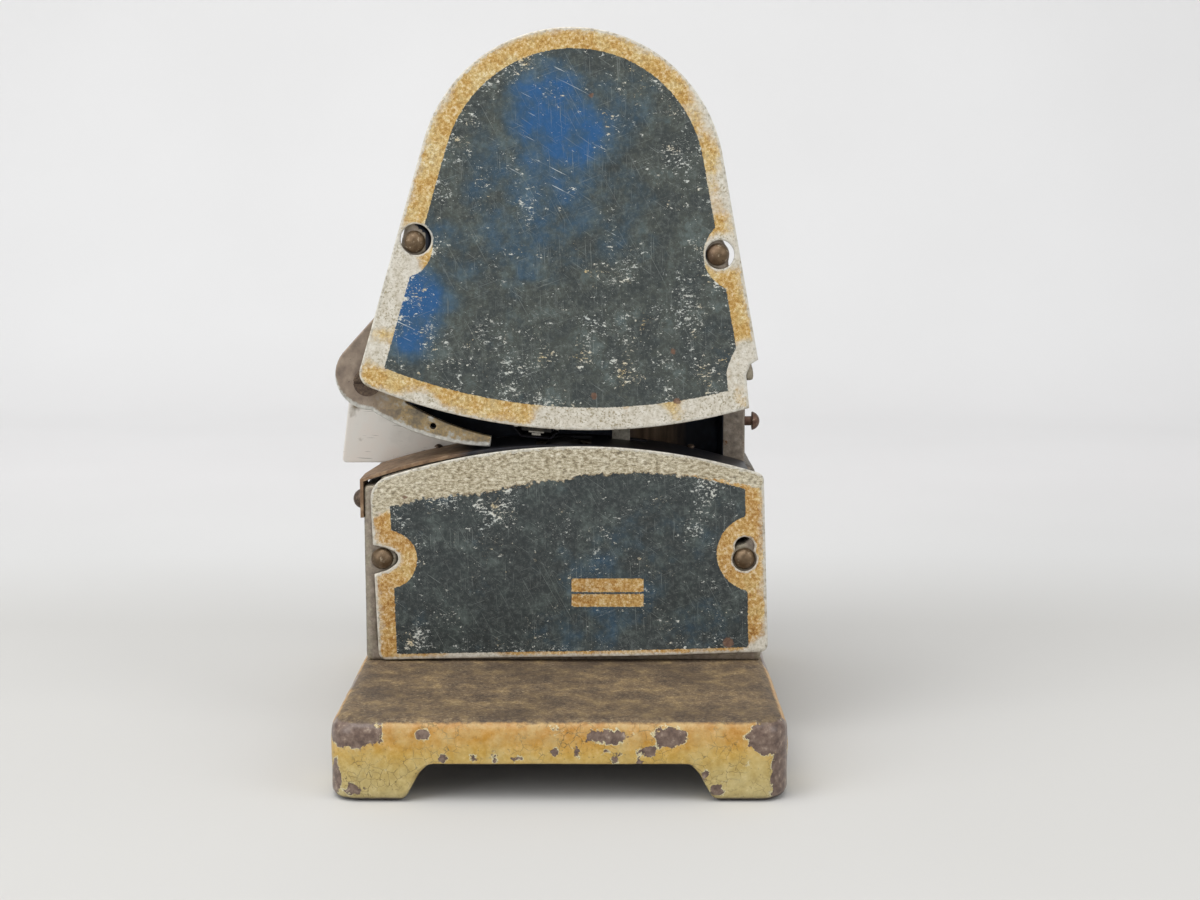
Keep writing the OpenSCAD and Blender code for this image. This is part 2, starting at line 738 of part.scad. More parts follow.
// The spring runs from a hook on the anchor, through its coil, to a hook on
// the arm's pin: s is the way along it, from 0 to 1 in the coil
loop_r = anchor_r + wire_r + 0.15;
spring_vec = hook_point - anchor_point;
spring_len = norm(spring_vec);
spring_dir = spring_vec / spring_len;
spring_up = [-spring_dir[1], spring_dir[0]];
coil_gap = 5;
coil_rings = 8;
coil_pitch = (spring_len - 2 * coil_gap) / coil_turns;

// A place in the spring's own frame: along it, across it and along Y
function spring_place(a, u, y) = [anchor_point[0] + a * spring_dir[0] + u * spring_up[0], hook_y + y,
    anchor_point[1] + a * spring_dir[1] + u * spring_up[1]];
hook_turn = 30;
spring_path = concat(
    [for (a = [250 : -hook_turn : 70]) spring_place(loop_r * cos(a), loop_r * sin(a), 0)],
    [for (i = [0 : coil_turns * coil_rings]) let (a = 90 + i * 360 / coil_rings)
        spring_place(coil_gap + coil_pitch * i / coil_rings, coil_r * sin(a), coil_r * cos(a))],
    [for (a = [110 : -hook_turn : -70]) spring_place(spring_len + loop_r * cos(a), loop_r * sin(a), 0)]);
coil_points = [for (i = [0 : coil_turns * coil_rings * 2]) let (a = i * 180 / coil_rings)
    [coil_pitch * i / coil_rings / 2, coil_r * sin(a), coil_r * cos(a)]];
turn_gap = min([for (i = [0 : coil_rings * 2], j = [coil_rings * 3 : 1 : coil_rings * 5])
    norm(coil_points[i] - coil_points[min(i + j - coil_rings, len(coil_points) - 1)])
    + (i + j - coil_rings >= len(coil_points) ? 100 : 0)]) - 2 * wire_r;
echo("least gap between turns of the return spring", min(turn_gap, coil_pitch - 2 * wire_r));

// Unit vector
function unit(v) = v / norm(v);
// Direction of the path at point i
function path_dir(p, i) = unit(p[min(i + 1, len(p) - 1)] - p[max(i - 1, 0)]);
// Frames along the path, each turned as little as possible from the last
function path_sides(p, i, side) = let (
        t = path_dir(p, i),
        s = unit(side - t * (side * t))
    ) i == len(p) - 1 ? [s] : concat([s], path_sides(p, i + 1, s));

// Tube of radius r with n sides along the points of a path
module tube(p, r, n) {
    sides = path_sides(p, 0, [0.13, 1, 0.21]);
    rings = [for (i = [0 : len(p) - 1]) let (t = path_dir(p, i), s = sides[i], b = cross(t, s))
        for (k = [0 : n - 1]) p[i] + r * (cos(k * 360 / n) * s + sin(k * 360 / n) * b)];
    last = (len(p) - 1) * n;
    ends = [for (k = [1 : n - 2]) [0, k, k + 1], for (k = [1 : n - 2]) [last, last + k + 1, last + k]];
    walls = [for (i = [0 : len(p) - 2], k = [0 : n - 1]) let (a = i * n + k, b = i * n + (k + 1) % n)
        each [[a, a + n, b], [b, a + n, b + n]]];
    polyhedron(rings, concat(ends, walls));
}

module return_spring() {
    color("#8f8a80") tube(spring_path, wire_r, 6);
}

// Platen under the middle of the deck

axle_r = 2;
platen_z = deck_z + 0.1 - platen_r;
platen_y0 = front_y + rib_t + 2.2;
platen_y1 = ribbon_back_y + 1;
bracket_t = 1.5;
bracket_x = 13;
bracket_z = shelf_z + shelf_t;
ear_half = 5;

module platen_bracket() {
    y0 = platen_y0 - air - bracket_t;
    y1 = platen_y1 + air;
    color("#8f8a80") difference() {
        union() {
            translate([-bracket_x, y0, bracket_z]) cube([2 * bracket_x, y1 + bracket_t - y0, bracket_t]);
            for (y = [y0, y1]) {
                translate([-ear_half, y, bracket_z]) cube([2 * ear_half, bracket_t, platen_z - bracket_z]);
                bar_y(0, platen_z, y, y + bracket_t, ear_half);
            }
        }
        bar_y(0, platen_z, y0 - 1, y1 + bracket_t + 1, axle_r + fit);
        both_sides()
            bar_z(bracket_screw_x, adjuster_y, bracket_z - 1, bracket_z + bracket_t + 1, small_r + fit);
    }
}

module platen_axle() {
    y0 = platen_y0 - air - bracket_t;
    y1 = platen_y1 + air + bracket_t;
    color("#8f8a80") {
        bar_y(0, platen_z, y0, y1 + 0.6, axle_r);
        bar_y(0, platen_z, y1, y1 + 0.6, axle_r + 1);
    }
}

module platen_screws() {
    color("#7d6a5a") both_sides() translate([bracket_screw_x, adjuster_y, bracket_z + bracket_t])
        cheese_screw(2.8, 1.8, small_r, bracket_t + shelf_t + 2);
}

module platen_adjuster() {
    color("#7d6a5a") {
        bar_z(0, adjuster_y, shelf_z - 14, bracket_z, adjuster_r);
        bar_z(0, adjuster_y, shelf_z - 19, shelf_z - 14 + eps, adjuster_r + 3);
    }
}

module platen_lock_nut() {
    color("#7d6a5a") difference() {
        translate([0, adjuster_y, shelf_z - 4]) cylinder(r = adjuster_r + 3, h = 4, $fn = 6);
        bar_z(0, adjuster_y, shelf_z - 5, shelf_z + 1, adjuster_r + fit);
    }
}

module platen_roller() {
    color("#2d2a28") difference() {
        bar_y(0, platen_z, platen_y0, platen_y1, platen_r);
        bar_y(0, platen_z, platen_y0 - 1, platen_y1 + 1, axle_r + fit);
    }
}

// Entry finger: a lobe round the pivot and a curved toe that hangs into the slot

toe_x = 22.5;
edge_centre = [-20.8, deck_top(toe_x) + 1.5 * air + finger_edge_r];
// The toe's upper edge is a wider arc
back_centre = edge_centre + [16.8, 15.7];
back_r = finger_edge_r + 14.5;
// Small hole near the root of the toe, from the centre of the lower edge's arc
small_hole_turn = 16.8;
small_hole_in = 3.56;
small_hole = edge_centre - (finger_edge_r - small_hole_in) * [sin(small_hole_turn), cos(small_hole_turn)];

module finger_outline() {
    intersection() {
        difference() {
            translate(edge_centre) circle(r = finger_edge_r, $fn = 180);
            translate(back_centre) circle(r = back_r, $fn = 240);
        }
        polygon([[-finger_x - 6, shoulder_z], [-toe_x - 0.5, shoulder_z + 2],
            [-toe_x + 0.8, shoulder_z + 14], [-finger_x + 8, shoulder_z + 30],
            [-finger_x - 6, shoulder_z + 28]]);
    }
    hull() {
        translate([-finger_x + 0.7, finger_z + 2]) circle(r = 10.7);
        translate([-finger_x - 2.6, finger_z - 1]) circle(r = 5.5);
        translate([-finger_x + 8.5, finger_z + 22]) circle(r = 3);
        translate([-finger_x + 12, finger_z - 3]) circle(r = 3);
    }
}

module entry_finger() {
    color("#8b7d68") difference() {
        along_y(finger_front_y, finger_front_y + finger_t) finger_outline();
        bar_y(-finger_x, finger_z, finger_front_y - 1, ear_y, shank_r + fit);
        bar_y(small_hole[0], small_hole[1], finger_front_y - 1, ear_y, 0.9);
    }
}

module finger_screw() {
    color("#7d6a5a") facing_front(-finger_x, finger_front_y - 0.25, finger_z)
        cheese_screw(4.2, finger_front_y - 0.25 - plate_back_y - 0.25, shank_r, 10);
}

// Pendulum

holder_high_r = 75;
lug_low_r = 90;
holder_low_r = type_r - 1.5;
guide_r = 1;
guide_x = holder_w / 2 + guide_r + 0.8;
guide_rad = type_r - 3.4;
pawl_point = [2, spool_z + 13];
ratchet_r = 9.5;
ratchet_t = 1.3;
ratchet_teeth = 16;
ratchet_y = spool_back_y;

// Turns what hangs straight below the pivot to the type's rest angle
module hung_at_type() {
    translate([0, 0, pivot_z]) rotate([0, type_angle, 0]) children();
}

module pendulum_arm() {
    color("#5d5a55") difference() {
        union() {
            along_y(arm_y, arm_back_y) {
                translate([0, pivot_z]) circle(r = hub_r);
                polygon([[-arm_half, pivot_z], [-arm_half, arm_high_z + 16], [-arm_left_x, arm_high_z + 4],
                    [-arm_left_x, arm_low_z], [arm_right_x, arm_low_z], [arm_right_x, arm_high_z + 4],
                    [arm_half, arm_high_z + 16], [arm_half, pivot_z]]);
            }
            bar_y(0, pivot_z, bush_front_y + 2, arm_y + eps, bush_r + 2);
            bar_y(hook_point[0], hook_point[1], hook_y - 1.4, arm_y + eps, anchor_r);
        }
        bar_y(0, pivot_z, bush_front_y, web_y, bush_r + fit);
        bar_y(pawl_point[0], pawl_point[1], arm_y - 1, web_y, small_r + fit);
        hung_at_type() for (r = holder_screw_rads) translate([0, arm_y - 1, -r]) rotate([-90, 0, 0])
            cylinder(r = small_r + fit, h = arm_t + 2);
        for (z = catch_screw_zs) bar_y(catch_x, z, arm_y - 1, web_y, small_r + fit);
    }
}

module pendulum_bush() {
    color("#a8874f") difference() {
        bar_y(0, pivot_z, bush_front_y, arm_back_y, bush_r);
        bar_y(0, pivot_z, bush_front_y - 1, web_y, pivot_r + fit);
    }
}

holder_screw_rads = [holder_high_r + 2.6];
catch_screw_zs = [arm_low_z + 2.9, arm_high_z + 1.2];
lug_t = 3.4;
slug_y0 = ribbon_y + 0.6;
slug_y1 = ribbon_back_y - 0.6;
slug_half = 2.4;
slug_top_r = type_r - 9;
clamp_r = 1.2;
clamp_rad = type_r - 6;

module type_holder() {
    color("#45413c") hung_at_type() difference() {
        union() {
            translate([-holder_w / 2, holder_y, -holder_low_r])
                cube([holder_w, ribbon_back_y - holder_y, holder_low_r - holder_high_r]);
            translate([-holder_w / 2, ribbon_back_y - eps, -lug_low_r])
                cube([holder_w, arm_y - ribbon_back_y + eps, lug_low_r - holder_high_r]);
        }
        translate([-slug_half - fit, slug_y0 - fit, -type_r - 1])
            cube([2 * slug_half + 2 * fit, slug_y1 - slug_y0 + 2 * fit, type_r - slug_top_r + 1]);
        translate([-holder_w, (slug_y0 + slug_y1) / 2, -clamp_rad]) rotate([0, 90, 0])
            cylinder(r = clamp_r + fit, h = holder_w);
        for (r = holder_screw_rads) translate([0, arm_y - 6, -r]) rotate([-90, 0, 0])
            cylinder(r = small_r + fit, h = 8);
        for (side = [-1, 1]) translate([side * guide_x, holder_y, -guide_rad]) rotate([-90, 0, 0])
            cylinder(r = guide_r + fit, h = 1);
    }
}

slug_count = 5;

module type_slugs() {
    step = (slug_y1 - slug_y0) / slug_count;
    color("#9a958c") hung_at_type() for (i = [0 : slug_count - 1])
        translate([-slug_half, slug_y0 + i * step, -type_r]) {
            translate([0, 0, 0.8]) cube([2 * slug_half, step - 0.06, type_r - slug_top_r - 0.8]);
            translate([0.9, 0.5, 0]) cube([2 * slug_half - 1.8, step - 1.06, 0.8 + eps]);
        }
}

module type_clamp_screw() {
    color("#7d6a5a") hung_at_type() translate([-holder_w / 2, (slug_y0 + slug_y1) / 2, -clamp_rad])
        rotate([0, -90, 0]) cheese_screw(2.2, 0.6, clamp_r, holder_w / 2 - slug_half - 0.1);
}

module holder_screws() {
    color("#7d6a5a") hung_at_type() for (r = holder_screw_rads) translate([0, arm_back_y, -r])
        rotate([-90, 0, 0]) cheese_screw(2.6, 1.4, small_r, arm_t + 5);
}

catch_t = 2.6;

module ticket_catch() {
    low_z = deck_top(catch_x) - catch_dip;
    color("#8f8a80") difference() {
        translate([catch_x - catch_w / 2, arm_y - catch_t, low_z])
            cube([catch_w, catch_t, arm_high_z + 3.6 - low_z]);
        for (z = catch_screw_zs) bar_y(catch_x, z, arm_y - catch_t - 1, arm_y + 1, small_r + fit);
    }
}

module catch_screws() {
    color("#7d6a5a") for (z = catch_screw_zs) facing_back(catch_x, arm_back_y, z)
        cheese_screw(2.4, 1.2, small_r, arm_t + catch_t - 0.2);
}

module ribbon_guides() {
    color("#8f8a80") hung_at_type() for (side = [-1, 1]) {
        translate([side * guide_x, holder_y, -guide_rad]) rotate([-90, 0, 0])
            cylinder(r = guide_r, h = ribbon_back_y - holder_y);
        translate([side > 0 ? holder_w / 2 : -guide_x - guide_r, ribbon_back_y, -guide_rad - guide_r])
            cube([guide_x + guide_r - holder_w / 2, 1.2, 2 * guide_r]);
    }
}

module pawl_stud() {
    color("#7d6a5a") {
        bar_y(pawl_point[0], pawl_point[1], ratchet_y - 1.2, arm_back_y, small_r);
        bar_y(pawl_point[0], pawl_point[1], ratchet_y - 1.2, ratchet_y - 0.4, small_r + 1.2);
        bar_y(pawl_point[0], pawl_point[1], ratchet_y + ratchet_t, arm_y, small_r + 1);
    }
}

// The hook of the pawl lies over the top of the ratchet wheel
module feed_pawl() {
    y0 = ratchet_y + 0.1;
    y1 = ratchet_y + ratchet_t - 0.3;
    color("#8f8a80") difference() {
        union() {
            bar_y(pawl_point[0], pawl_point[1], y0, y1, 3.6);
            along_y(y0, y1) polygon([[pawl_point[0], pawl_point[1] + 3.1],
                [spool_x + 1.5, spool_z + ratchet_r + 4],
                [spool_x + 1.5, spool_z + ratchet_r + air], [spool_x - 1, spool_z + ratchet_r + 1.4],
                [pawl_point[0], pawl_point[1] - 2.6]]);
        }
        bar_y(pawl_point[0], pawl_point[1], ratchet_y - 1, arm_y, small_r + fit);
    }
}

// Ribbon: a thin band from spool to spool, under the type

guide_left = swung(-guide_x, pivot_z - guide_rad, -type_angle);
guide_right = swung(guide_x, pivot_z - guide_rad, -type_angle);
band_off = guide_r + air + ribbon_t / 2;
under_left = swung(-holder_w / 2, pivot_z - type_r - air - ribbon_t / 2, -type_angle);
under_right = swung(holder_w / 2, pivot_z - type_r - air - ribbon_t / 2, -type_angle);
leave_angle = 12;
ribbon_points = [
    [-spool_x - (wound_r + air + ribbon_t / 2) * cos(leave_angle),
        spool_z - (wound_r + air + ribbon_t / 2) * sin(leave_angle)],
    guide_left + band_off * [-cos(leave_angle), -sin(leave_angle)],
    guide_left + band_off * [-0.5, -0.87],
    under_left, under_right,
    guide_right + band_off * [0.34, -0.94],
    guide_right + band_off * [cos(leave_angle + 4), -sin(leave_angle + 4)],
    [spool_x + (wound_r + air + ribbon_t / 2) * cos(leave_angle + 12),
        spool_z - (wound_r + air + ribbon_t / 2) * sin(leave_angle + 12)]];

module ribbon() {
    color("#26242c") along_y(ribbon_y, ribbon_back_y - 0.2) {
        for (i = [0 : len(ribbon_points) - 2]) let (
            a = ribbon_points[i], b = ribbon_points[i + 1],
            n = unit([a[1] - b[1], b[0] - a[0]]) * ribbon_t / 2)
            polygon([a + n, a - n, b - n, b + n]);
        for (p = ribbon_points) translate(p) circle(r = ribbon_t / 2);
    }
}

// Spool with its wound ribbon, seen from the front at x
module ribbon_spool(x) {
    difference() {
        union() {
            bar_y(x, spool_z, spool_front_y, spool_front_y + flange_t, spool_r);
            bar_y(x, spool_z, spool_back_y - flange_t, spool_back_y, spool_r);
            bar_y(x, spool_z, spool_front_y + flange_t - eps, spool_back_y - flange_t + eps, wound_r);
        }
        bar_y(x, spool_z, spool_front_y - 1, spool_back_y + 1, shank_r + fit);
        for (a = [0 : 120 : 240]) translate([x, spool_front_y - 1, spool_z]) rotate([-90, 0, a])
            translate([7.5, 0, 0]) cylinder(r = 2.2, h = flange_t + 2);
    }
}

module ribbon_spool_left() {
    color("#4a4744") ribbon_spool(-spool_x);
}

module ribbon_spool_right() {
    color("#4a4744") ribbon_spool(spool_x);
}

module ratchet_wheel() {
    color("#a8874f") difference() {
        along_y(ratchet_y, ratchet_y + ratchet_t) translate([spool_x, spool_z]) polygon([
            for (i = [0 : ratchet_teeth - 1]) let (a = 96 - i * 360 / ratchet_teeth)
                each [ratchet_r * [cos(a), sin(a)], (ratchet_r - 1.6) * [cos(a - 3), sin(a - 3)]]]);
        bar_y(spool_x, spool_z, ratchet_y - 1, ratchet_y + ratchet_t + 1, shank_r + fit);
    }
}

// Cover plates

// Upper plate in its own frame: the screw line is the X axis
module upper_plate_outline() {
    edge_x = cover_dome_r * cos(flare);
    edge_z = cover_dome_rise + cover_dome_r * sin(flare);
    wide_x = edge_x + (edge_z + cover_drop) * tan(flare);
    offset(r = 4.5, $fn = 32) offset(delta = -4.5) intersection() {
        union() {
            translate([0, cover_dome_rise]) circle(r = cover_dome_r, $fn = 120);
            polygon([[-edge_x, edge_z], [-wide_x, -cover_drop], [wide_x, -cover_drop], [edge_x, edge_z]]);
        }
        translate([0, cover_low_r - cover_drop]) circle(r = cover_low_r, $fn = 360);
    }
}

// The corner that has broken off the upper plate, in the machine's frame
module lost_corner() {
    polygon([[70, shoulder_z + 39.6], [60.3, shoulder_z + 38.4], [59.4, shoulder_z + 36.4],
        [56.4, shoulder_z + 34.6], [55.2, shoulder_z + 31.4], [55.5, shoulder_z + 28],
        [56.2, shoulder_z + 21.6], [55.6, shoulder_z + 20.6], [61, shoulder_z + 10], [70, shoulder_z + 10]]);
}

hole_r = head_r + air;
// The upper plate's worn holes: how far each lies off its screw
cover_hole_shifts = [[0.55, 0.7], [0.6, 0]];

module upper_cover() {
    color("#444c4e") difference() {
        along_y(plate_front_y, plate_back_y) difference() {
            translate([cover_mid_x, cover_z]) rotate(-cover_tilt) upper_plate_outline();
            lost_corner();
        }
        for (i = [0, 1]) let (p = cover_screw_points[i] + cover_hole_shifts[i])
            bar_y(p[0], p[1], plate_front_y - 1, front_y, hole_r + norm(cover_hole_shifts[i]));
    }
}

// Blank of the lower plate in its own frame: the screw line is the X axis
module lower_plate_blank() {
    half = lower_plate_w / 2;
    intersection() {
        translate([0, lower_plate_rise - lower_plate_r]) circle(r = lower_plate_r, $fn = 360);
        polygon([[-half, 40], [half - 0.6, 40], [half - 0.4, 23], [half + 0.4, -lower_plate_drop],
            [-half + 1, -lower_plate_drop]]);
    }
}

// Its upper left corner is well rounded, the others are tight
module lower_plate_outline() {
    tight_r = 2.5;
    wide_r = 7;
    difference() {
        offset(r = tight_r, $fn = 32) offset(delta = -tight_r) lower_plate_blank();
        difference() {
            translate([-lower_plate_w, 0]) square([lower_plate_w, 2 * lower_plate_rise]);
            offset(r = wide_r, $fn = 64) offset(delta = -wide_r) lower_plate_blank();
        }
    }
}

module lower_cover() {
    lobe_r = 3;
    lobe_rise = 3.9;
    color("#3f4a4c") difference() {
        along_y(plate_front_y, plate_back_y) translate([lower_mid_x, lower_z]) rotate(lower_plate_tilt)
            lower_plate_outline();
        bar_y(lower_screw_x, lower_z, plate_front_y - 1, front_y, hole_r);
        bar_y(lower_screw_x, lower_z + lobe_rise, plate_front_y - 1, front_y, lobe_r);
        along_y(plate_front_y - 1, front_y) translate([-lower_screw_x, lower_z]) broken_keyhole();
    }
}

// The left keyhole has worn to the right and broken out to the plate's edge
module broken_keyhole() {
    worn_end = [2.4, 0.2];
    worn_r = 2.5;
    mouth_x = -10;
    mouth_low = -6.8;
    mouth_w = 12.6;
    hull() {
        circle(r = hole_r);
        translate(worn_end) circle(r = worn_r);
        translate([mouth_x, mouth_low]) square([1, mouth_w]);
    }
}

centred() base_casting();
centred() base_screws();
centred() lower_housing();
centred() upper_frame();
centred() frame_screws();
centred() ticket_deck();
centred() deck_screws();
centred() ticket_fence();
centred() fence_screws();
centred() side_screw();
centred() upper_cover_screws();
centred() lower_cover_screws();
centred() rear_cover();
centred() rear_cover_screws();
centred() lower_rear_cover();
centred() lower_rear_screws();
centred() pivot_shaft();
centred() pivot_nut();
centred() pivot_collar();
centred() spool_posts();
centred() spool_collars();
centred() swing_stops();
centred() return_spring();
centred() spring_anchor();
centred() platen_bracket();
centred() platen_axle();
centred() platen_screws();
centred() platen_adjuster();
centred() platen_lock_nut();
centred() platen_roller();
centred() finger_screw();
centred() entry_finger();
centred() pendulum_arm();
centred() pendulum_bush();
centred() type_holder();
centred() type_slugs();
centred() type_clamp_screw();
centred() holder_screws();
centred() ticket_catch();
centred() catch_screws();
centred() ribbon_guides();
centred() pawl_stud();
centred() ribbon();
centred() feed_pawl();
centred() ribbon_spool_left();
centred() ribbon_spool_right();
centred() ratchet_wheel();
centred() upper_cover();
centred() lower_cover();
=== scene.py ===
import json
import math

import bmesh
import bpy
import numpy as np
from mathutils import Matrix, Vector
from mathutils.geometry import delaunay_2d_cdt


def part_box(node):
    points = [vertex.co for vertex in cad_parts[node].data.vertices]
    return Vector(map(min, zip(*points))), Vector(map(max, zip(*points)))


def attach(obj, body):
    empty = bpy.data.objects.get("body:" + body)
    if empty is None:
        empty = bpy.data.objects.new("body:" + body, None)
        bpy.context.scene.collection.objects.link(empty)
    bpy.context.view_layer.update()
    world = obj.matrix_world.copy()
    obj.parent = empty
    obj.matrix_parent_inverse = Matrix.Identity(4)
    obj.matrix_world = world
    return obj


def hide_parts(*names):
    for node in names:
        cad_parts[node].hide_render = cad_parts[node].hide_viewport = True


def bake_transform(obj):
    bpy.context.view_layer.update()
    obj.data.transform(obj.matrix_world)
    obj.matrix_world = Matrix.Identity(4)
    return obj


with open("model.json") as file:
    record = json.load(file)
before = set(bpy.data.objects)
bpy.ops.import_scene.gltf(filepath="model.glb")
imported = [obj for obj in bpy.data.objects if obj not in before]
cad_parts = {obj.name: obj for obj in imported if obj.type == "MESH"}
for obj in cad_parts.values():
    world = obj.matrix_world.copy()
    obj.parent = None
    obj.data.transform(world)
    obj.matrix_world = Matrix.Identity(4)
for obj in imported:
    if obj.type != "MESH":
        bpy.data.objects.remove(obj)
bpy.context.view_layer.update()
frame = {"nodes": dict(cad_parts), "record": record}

# A cast-iron ticket dating machine, worn from long use. The frame is in metres. The sizes that are
# named here are in millimetres, apart from the stage's, and are turned to metres where they are used.
# X runs right, Y away from the front plates, Z up.

MM = 0.001
nodes = frame["nodes"]


def middle(node):
    """The middle of a CAD node's box."""
    low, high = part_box(node)
    return (low + high) / 2


# The machine's own middle, which the base and the housings share, lies right of the frame's origin
machine_x = middle("base_casting").x / MM


# Camera, where the photograph was taken from: just right of the middle, looking down a little

CAMERA_RIGHT = 11.2
CAMERA_BACK = 561
CAMERA_HIGH = 164.4
CAMERA_DOWN = math.radians(8)
CAMERA_LENS = 54
CAMERA_SENSOR = 36


def make_camera():
    """The camera, with the lens that fits the photograph."""
    data = bpy.data.cameras.new("camera")
    data.lens = CAMERA_LENS
    data.sensor_width = CAMERA_SENSOR
    data.clip_start = 10 * MM
    camera = bpy.data.objects.new("camera", data)
    camera.location = Vector((machine_x + CAMERA_RIGHT, -CAMERA_BACK, CAMERA_HIGH)) * MM
    camera.rotation_euler = (math.pi / 2 - CAMERA_DOWN, 0, 0)
    bpy.context.scene.collection.objects.link(camera)
    bpy.context.scene.camera = camera


# Colours, patterns and finishes


def linear(shade):
    """The linear colour of an sRGB hex value such as #b98a35."""
    parts = [int(shade[i:i + 2], 16) / 255 for i in (1, 3, 5)]
    return tuple(c / 12.92 if c <= 0.04045 else ((c + 0.055) / 1.055) ** 2.4 for c in parts) + (1.0,)


def add(tree, kind, inputs=None, stops=None, **settings):
    """Adds a node. inputs maps sockets to values or to other nodes' sockets; stops fill a ramp."""
    node = tree.nodes.new(kind)
    for name, value in settings.items():
        setattr(node, name, value)
    for key, value in (inputs or {}).items():
        if isinstance(value, bpy.types.NodeSocket):
            tree.links.new(value, node.inputs[key])
        else:
            node.inputs[key].default_value = value
    for i, (place, shade) in enumerate(stops or []):
        ramp = node.color_ramp.elements
        stop = ramp[i] if i < 2 else ramp.new(place)
        stop.position = place
        stop.color = linear(shade)
    return node


# A Mix node's sockets: the two numbers it mixes, and the two colours and their result
NUMBER_A, NUMBER_B = 2, 3
MIX_A, MIX_B, MIX_RESULT = 6, 7, 2


def grain(tree, place, size, detail=4, rough=0.6, seed=0.0):
    """Uneven values about 0.5, with spots about size mm across. A seed starts the pattern elsewhere."""
    if seed:
        far_off = (seed, 1.7 * seed, 0.6 * seed)
        place = add(tree, "ShaderNodeVectorMath", {0: place, 1: far_off}).outputs[0]
    noise = add(tree, "ShaderNodeTexNoise", {"Vector": place, "Scale": 1 / (size * MM),
        "Detail": detail, "Roughness": rough})
    return noise.outputs["Fac"]


def patches(tree, place, size, above, soft=0.05, detail=4, rough=0.6, seed=0.0):
    """A mask of ragged patches about size mm across: the higher above is, the fewer there are."""
    level = grain(tree, place, size, detail, rough, seed)
    return add(tree, "ShaderNodeMapRange", {"Value": level, "From Min": above - soft,
        "From Max": above + soft}).outputs["Result"]


def inside(tree, place, name, edge, ragged=0.0, size=1.0, soft=0.08):
    """1 where an attribute in mm is above edge, with a border made uneven by ragged mm of noise."""
    value = add(tree, "ShaderNodeAttribute", attribute_name=name).outputs["Fac"]
    if ragged:
        noise = grain(tree, place, size, detail=6, rough=0.65)
        shift = add(tree, "ShaderNodeMapRange", {"Value": noise, "From Min": 0.25, "From Max": 0.75,
            "To Min": -ragged, "To Max": ragged}, clamp=False).outputs["Result"]
        value = add(tree, "ShaderNodeMath", {0: value, 1: shift}).outputs[0]
    return add(tree, "ShaderNodeMapRange", {"Value": value, "From Min": edge - soft,
        "From Max": edge + soft}).outputs["Result"]


def scratches(tree, place, *kinds):
    """A mask of fine lines across the XZ plane. Each kind has its angle in degrees, its length and width
    in mm, a level that is higher the fewer there are, and a seed."""
    masks = []
    for angle, length, width, above, seed in kinds:
        far_off = (-seed, -1.7 * seed, -0.6 * seed)
        turned = add(tree, "ShaderNodeMapping", {"Vector": place, "Location": far_off,
            "Rotation": (0, math.radians(angle), 0), "Scale": (length * MM, 1, width * MM)},
            vector_type="TEXTURE")
        noise = add(tree, "ShaderNodeTexNoise", {"Vector": turned.outputs["Vector"], "Scale": 1, "Detail": 2})
        masks.append(add(tree, "ShaderNodeMapRange", {"Value": noise.outputs["Fac"], "From Min": above,
            "From Max": above + 0.05}).outputs["Result"])
    made = masks[0]
    for mask in masks[1:]:
        made = add(tree, "ShaderNodeMath", {0: made, 1: mask}, operation="MAXIMUM").outputs[0]
    return made


def tone(tree, place, size, stops, detail=4, rough=0.6, seed=0.0, spread=0.22):
    """A mottled colour with spots about size mm across, from a ramp of shades."""
    noise = grain(tree, place, size, detail, rough, seed)
    level = add(tree, "ShaderNodeMapRange", {"Value": noise, "From Min": 0.5 - spread,
        "From Max": 0.5 + spread}).outputs["Result"]
    return add(tree, "ShaderNodeValToRGB", {0: level}, stops=stops).outputs["Color"]


def relief(tree, place, size, depth, detail=4, rough=0.6):
    """Surface relief of depth mm with bumps about size mm across."""
    noise = grain(tree, place, size, detail, rough)
    return add(tree, "ShaderNodeMath", {0: noise, 1: depth}, operation="MULTIPLY").outputs[0]


def finish(colour, rough=0.5, metal=0.0, height=0.0):
    """One finish: its colour, roughness, metal and height in mm, each a plain value or a socket."""
    if isinstance(colour, str):
        colour = linear(colour)
    return {"colour": colour, "rough": rough, "metal": metal, "height": height}


def over(tree, under, coat, *masks):
    """Lays one finish over another where all the masks are 1. A number among them thins the coat."""
    mask = masks[0]
    for part in masks[1:]:
        mask = add(tree, "ShaderNodeMath", {0: mask, 1: part}, operation="MULTIPLY").outputs[0]
    colour = add(tree, "ShaderNodeMix", {0: mask, MIX_A: under["colour"], MIX_B: coat["colour"]},
        data_type="RGBA").outputs[MIX_RESULT]
    made = {"colour": colour}
    for key in ("rough", "metal", "height"):
        mixed = add(tree, "ShaderNodeMix", {0: mask, NUMBER_A: under[key], NUMBER_B: coat[key]})
        made[key] = mixed.outputs[0]
    return made


def new_material(name):
    """A material, its tree, and the place on the piece in metres."""
    material = bpy.data.materials.new(name)
    material.use_nodes = True
    material.node_tree.nodes.clear()
    place = add(material.node_tree, "ShaderNodeTexCoord").outputs["Object"]
    return material, material.node_tree, place


def close_material(tree, made, unevenness=None):
    """Ends a material in its shader, with the finish's height and any unevenness in mm as relief."""
    height = made["height"]
    if unevenness is not None:
        height = add(tree, "ShaderNodeMath", {0: height, 1: unevenness}).outputs[0]
    bump = add(tree, "ShaderNodeBump", {"Height": height, "Distance": MM})
    shader = add(tree, "ShaderNodeBsdfPrincipled", {"Base Color": made["colour"], "Roughness": made["rough"],
        "Metallic": made["metal"], "Normal": bump.outputs["Normal"]})
    add(tree, "ShaderNodeOutputMaterial", {"Surface": shader.outputs["BSDF"]})


# Stage: a pale sweep under three soft lamps, with its sizes in metres

SWEEP_FRONT = -1.6
SWEEP_TURN = 0.75
SWEEP_RADIUS = 0.35
SWEEP_TOP = 1.6
SWEEP_HALF = 4.5
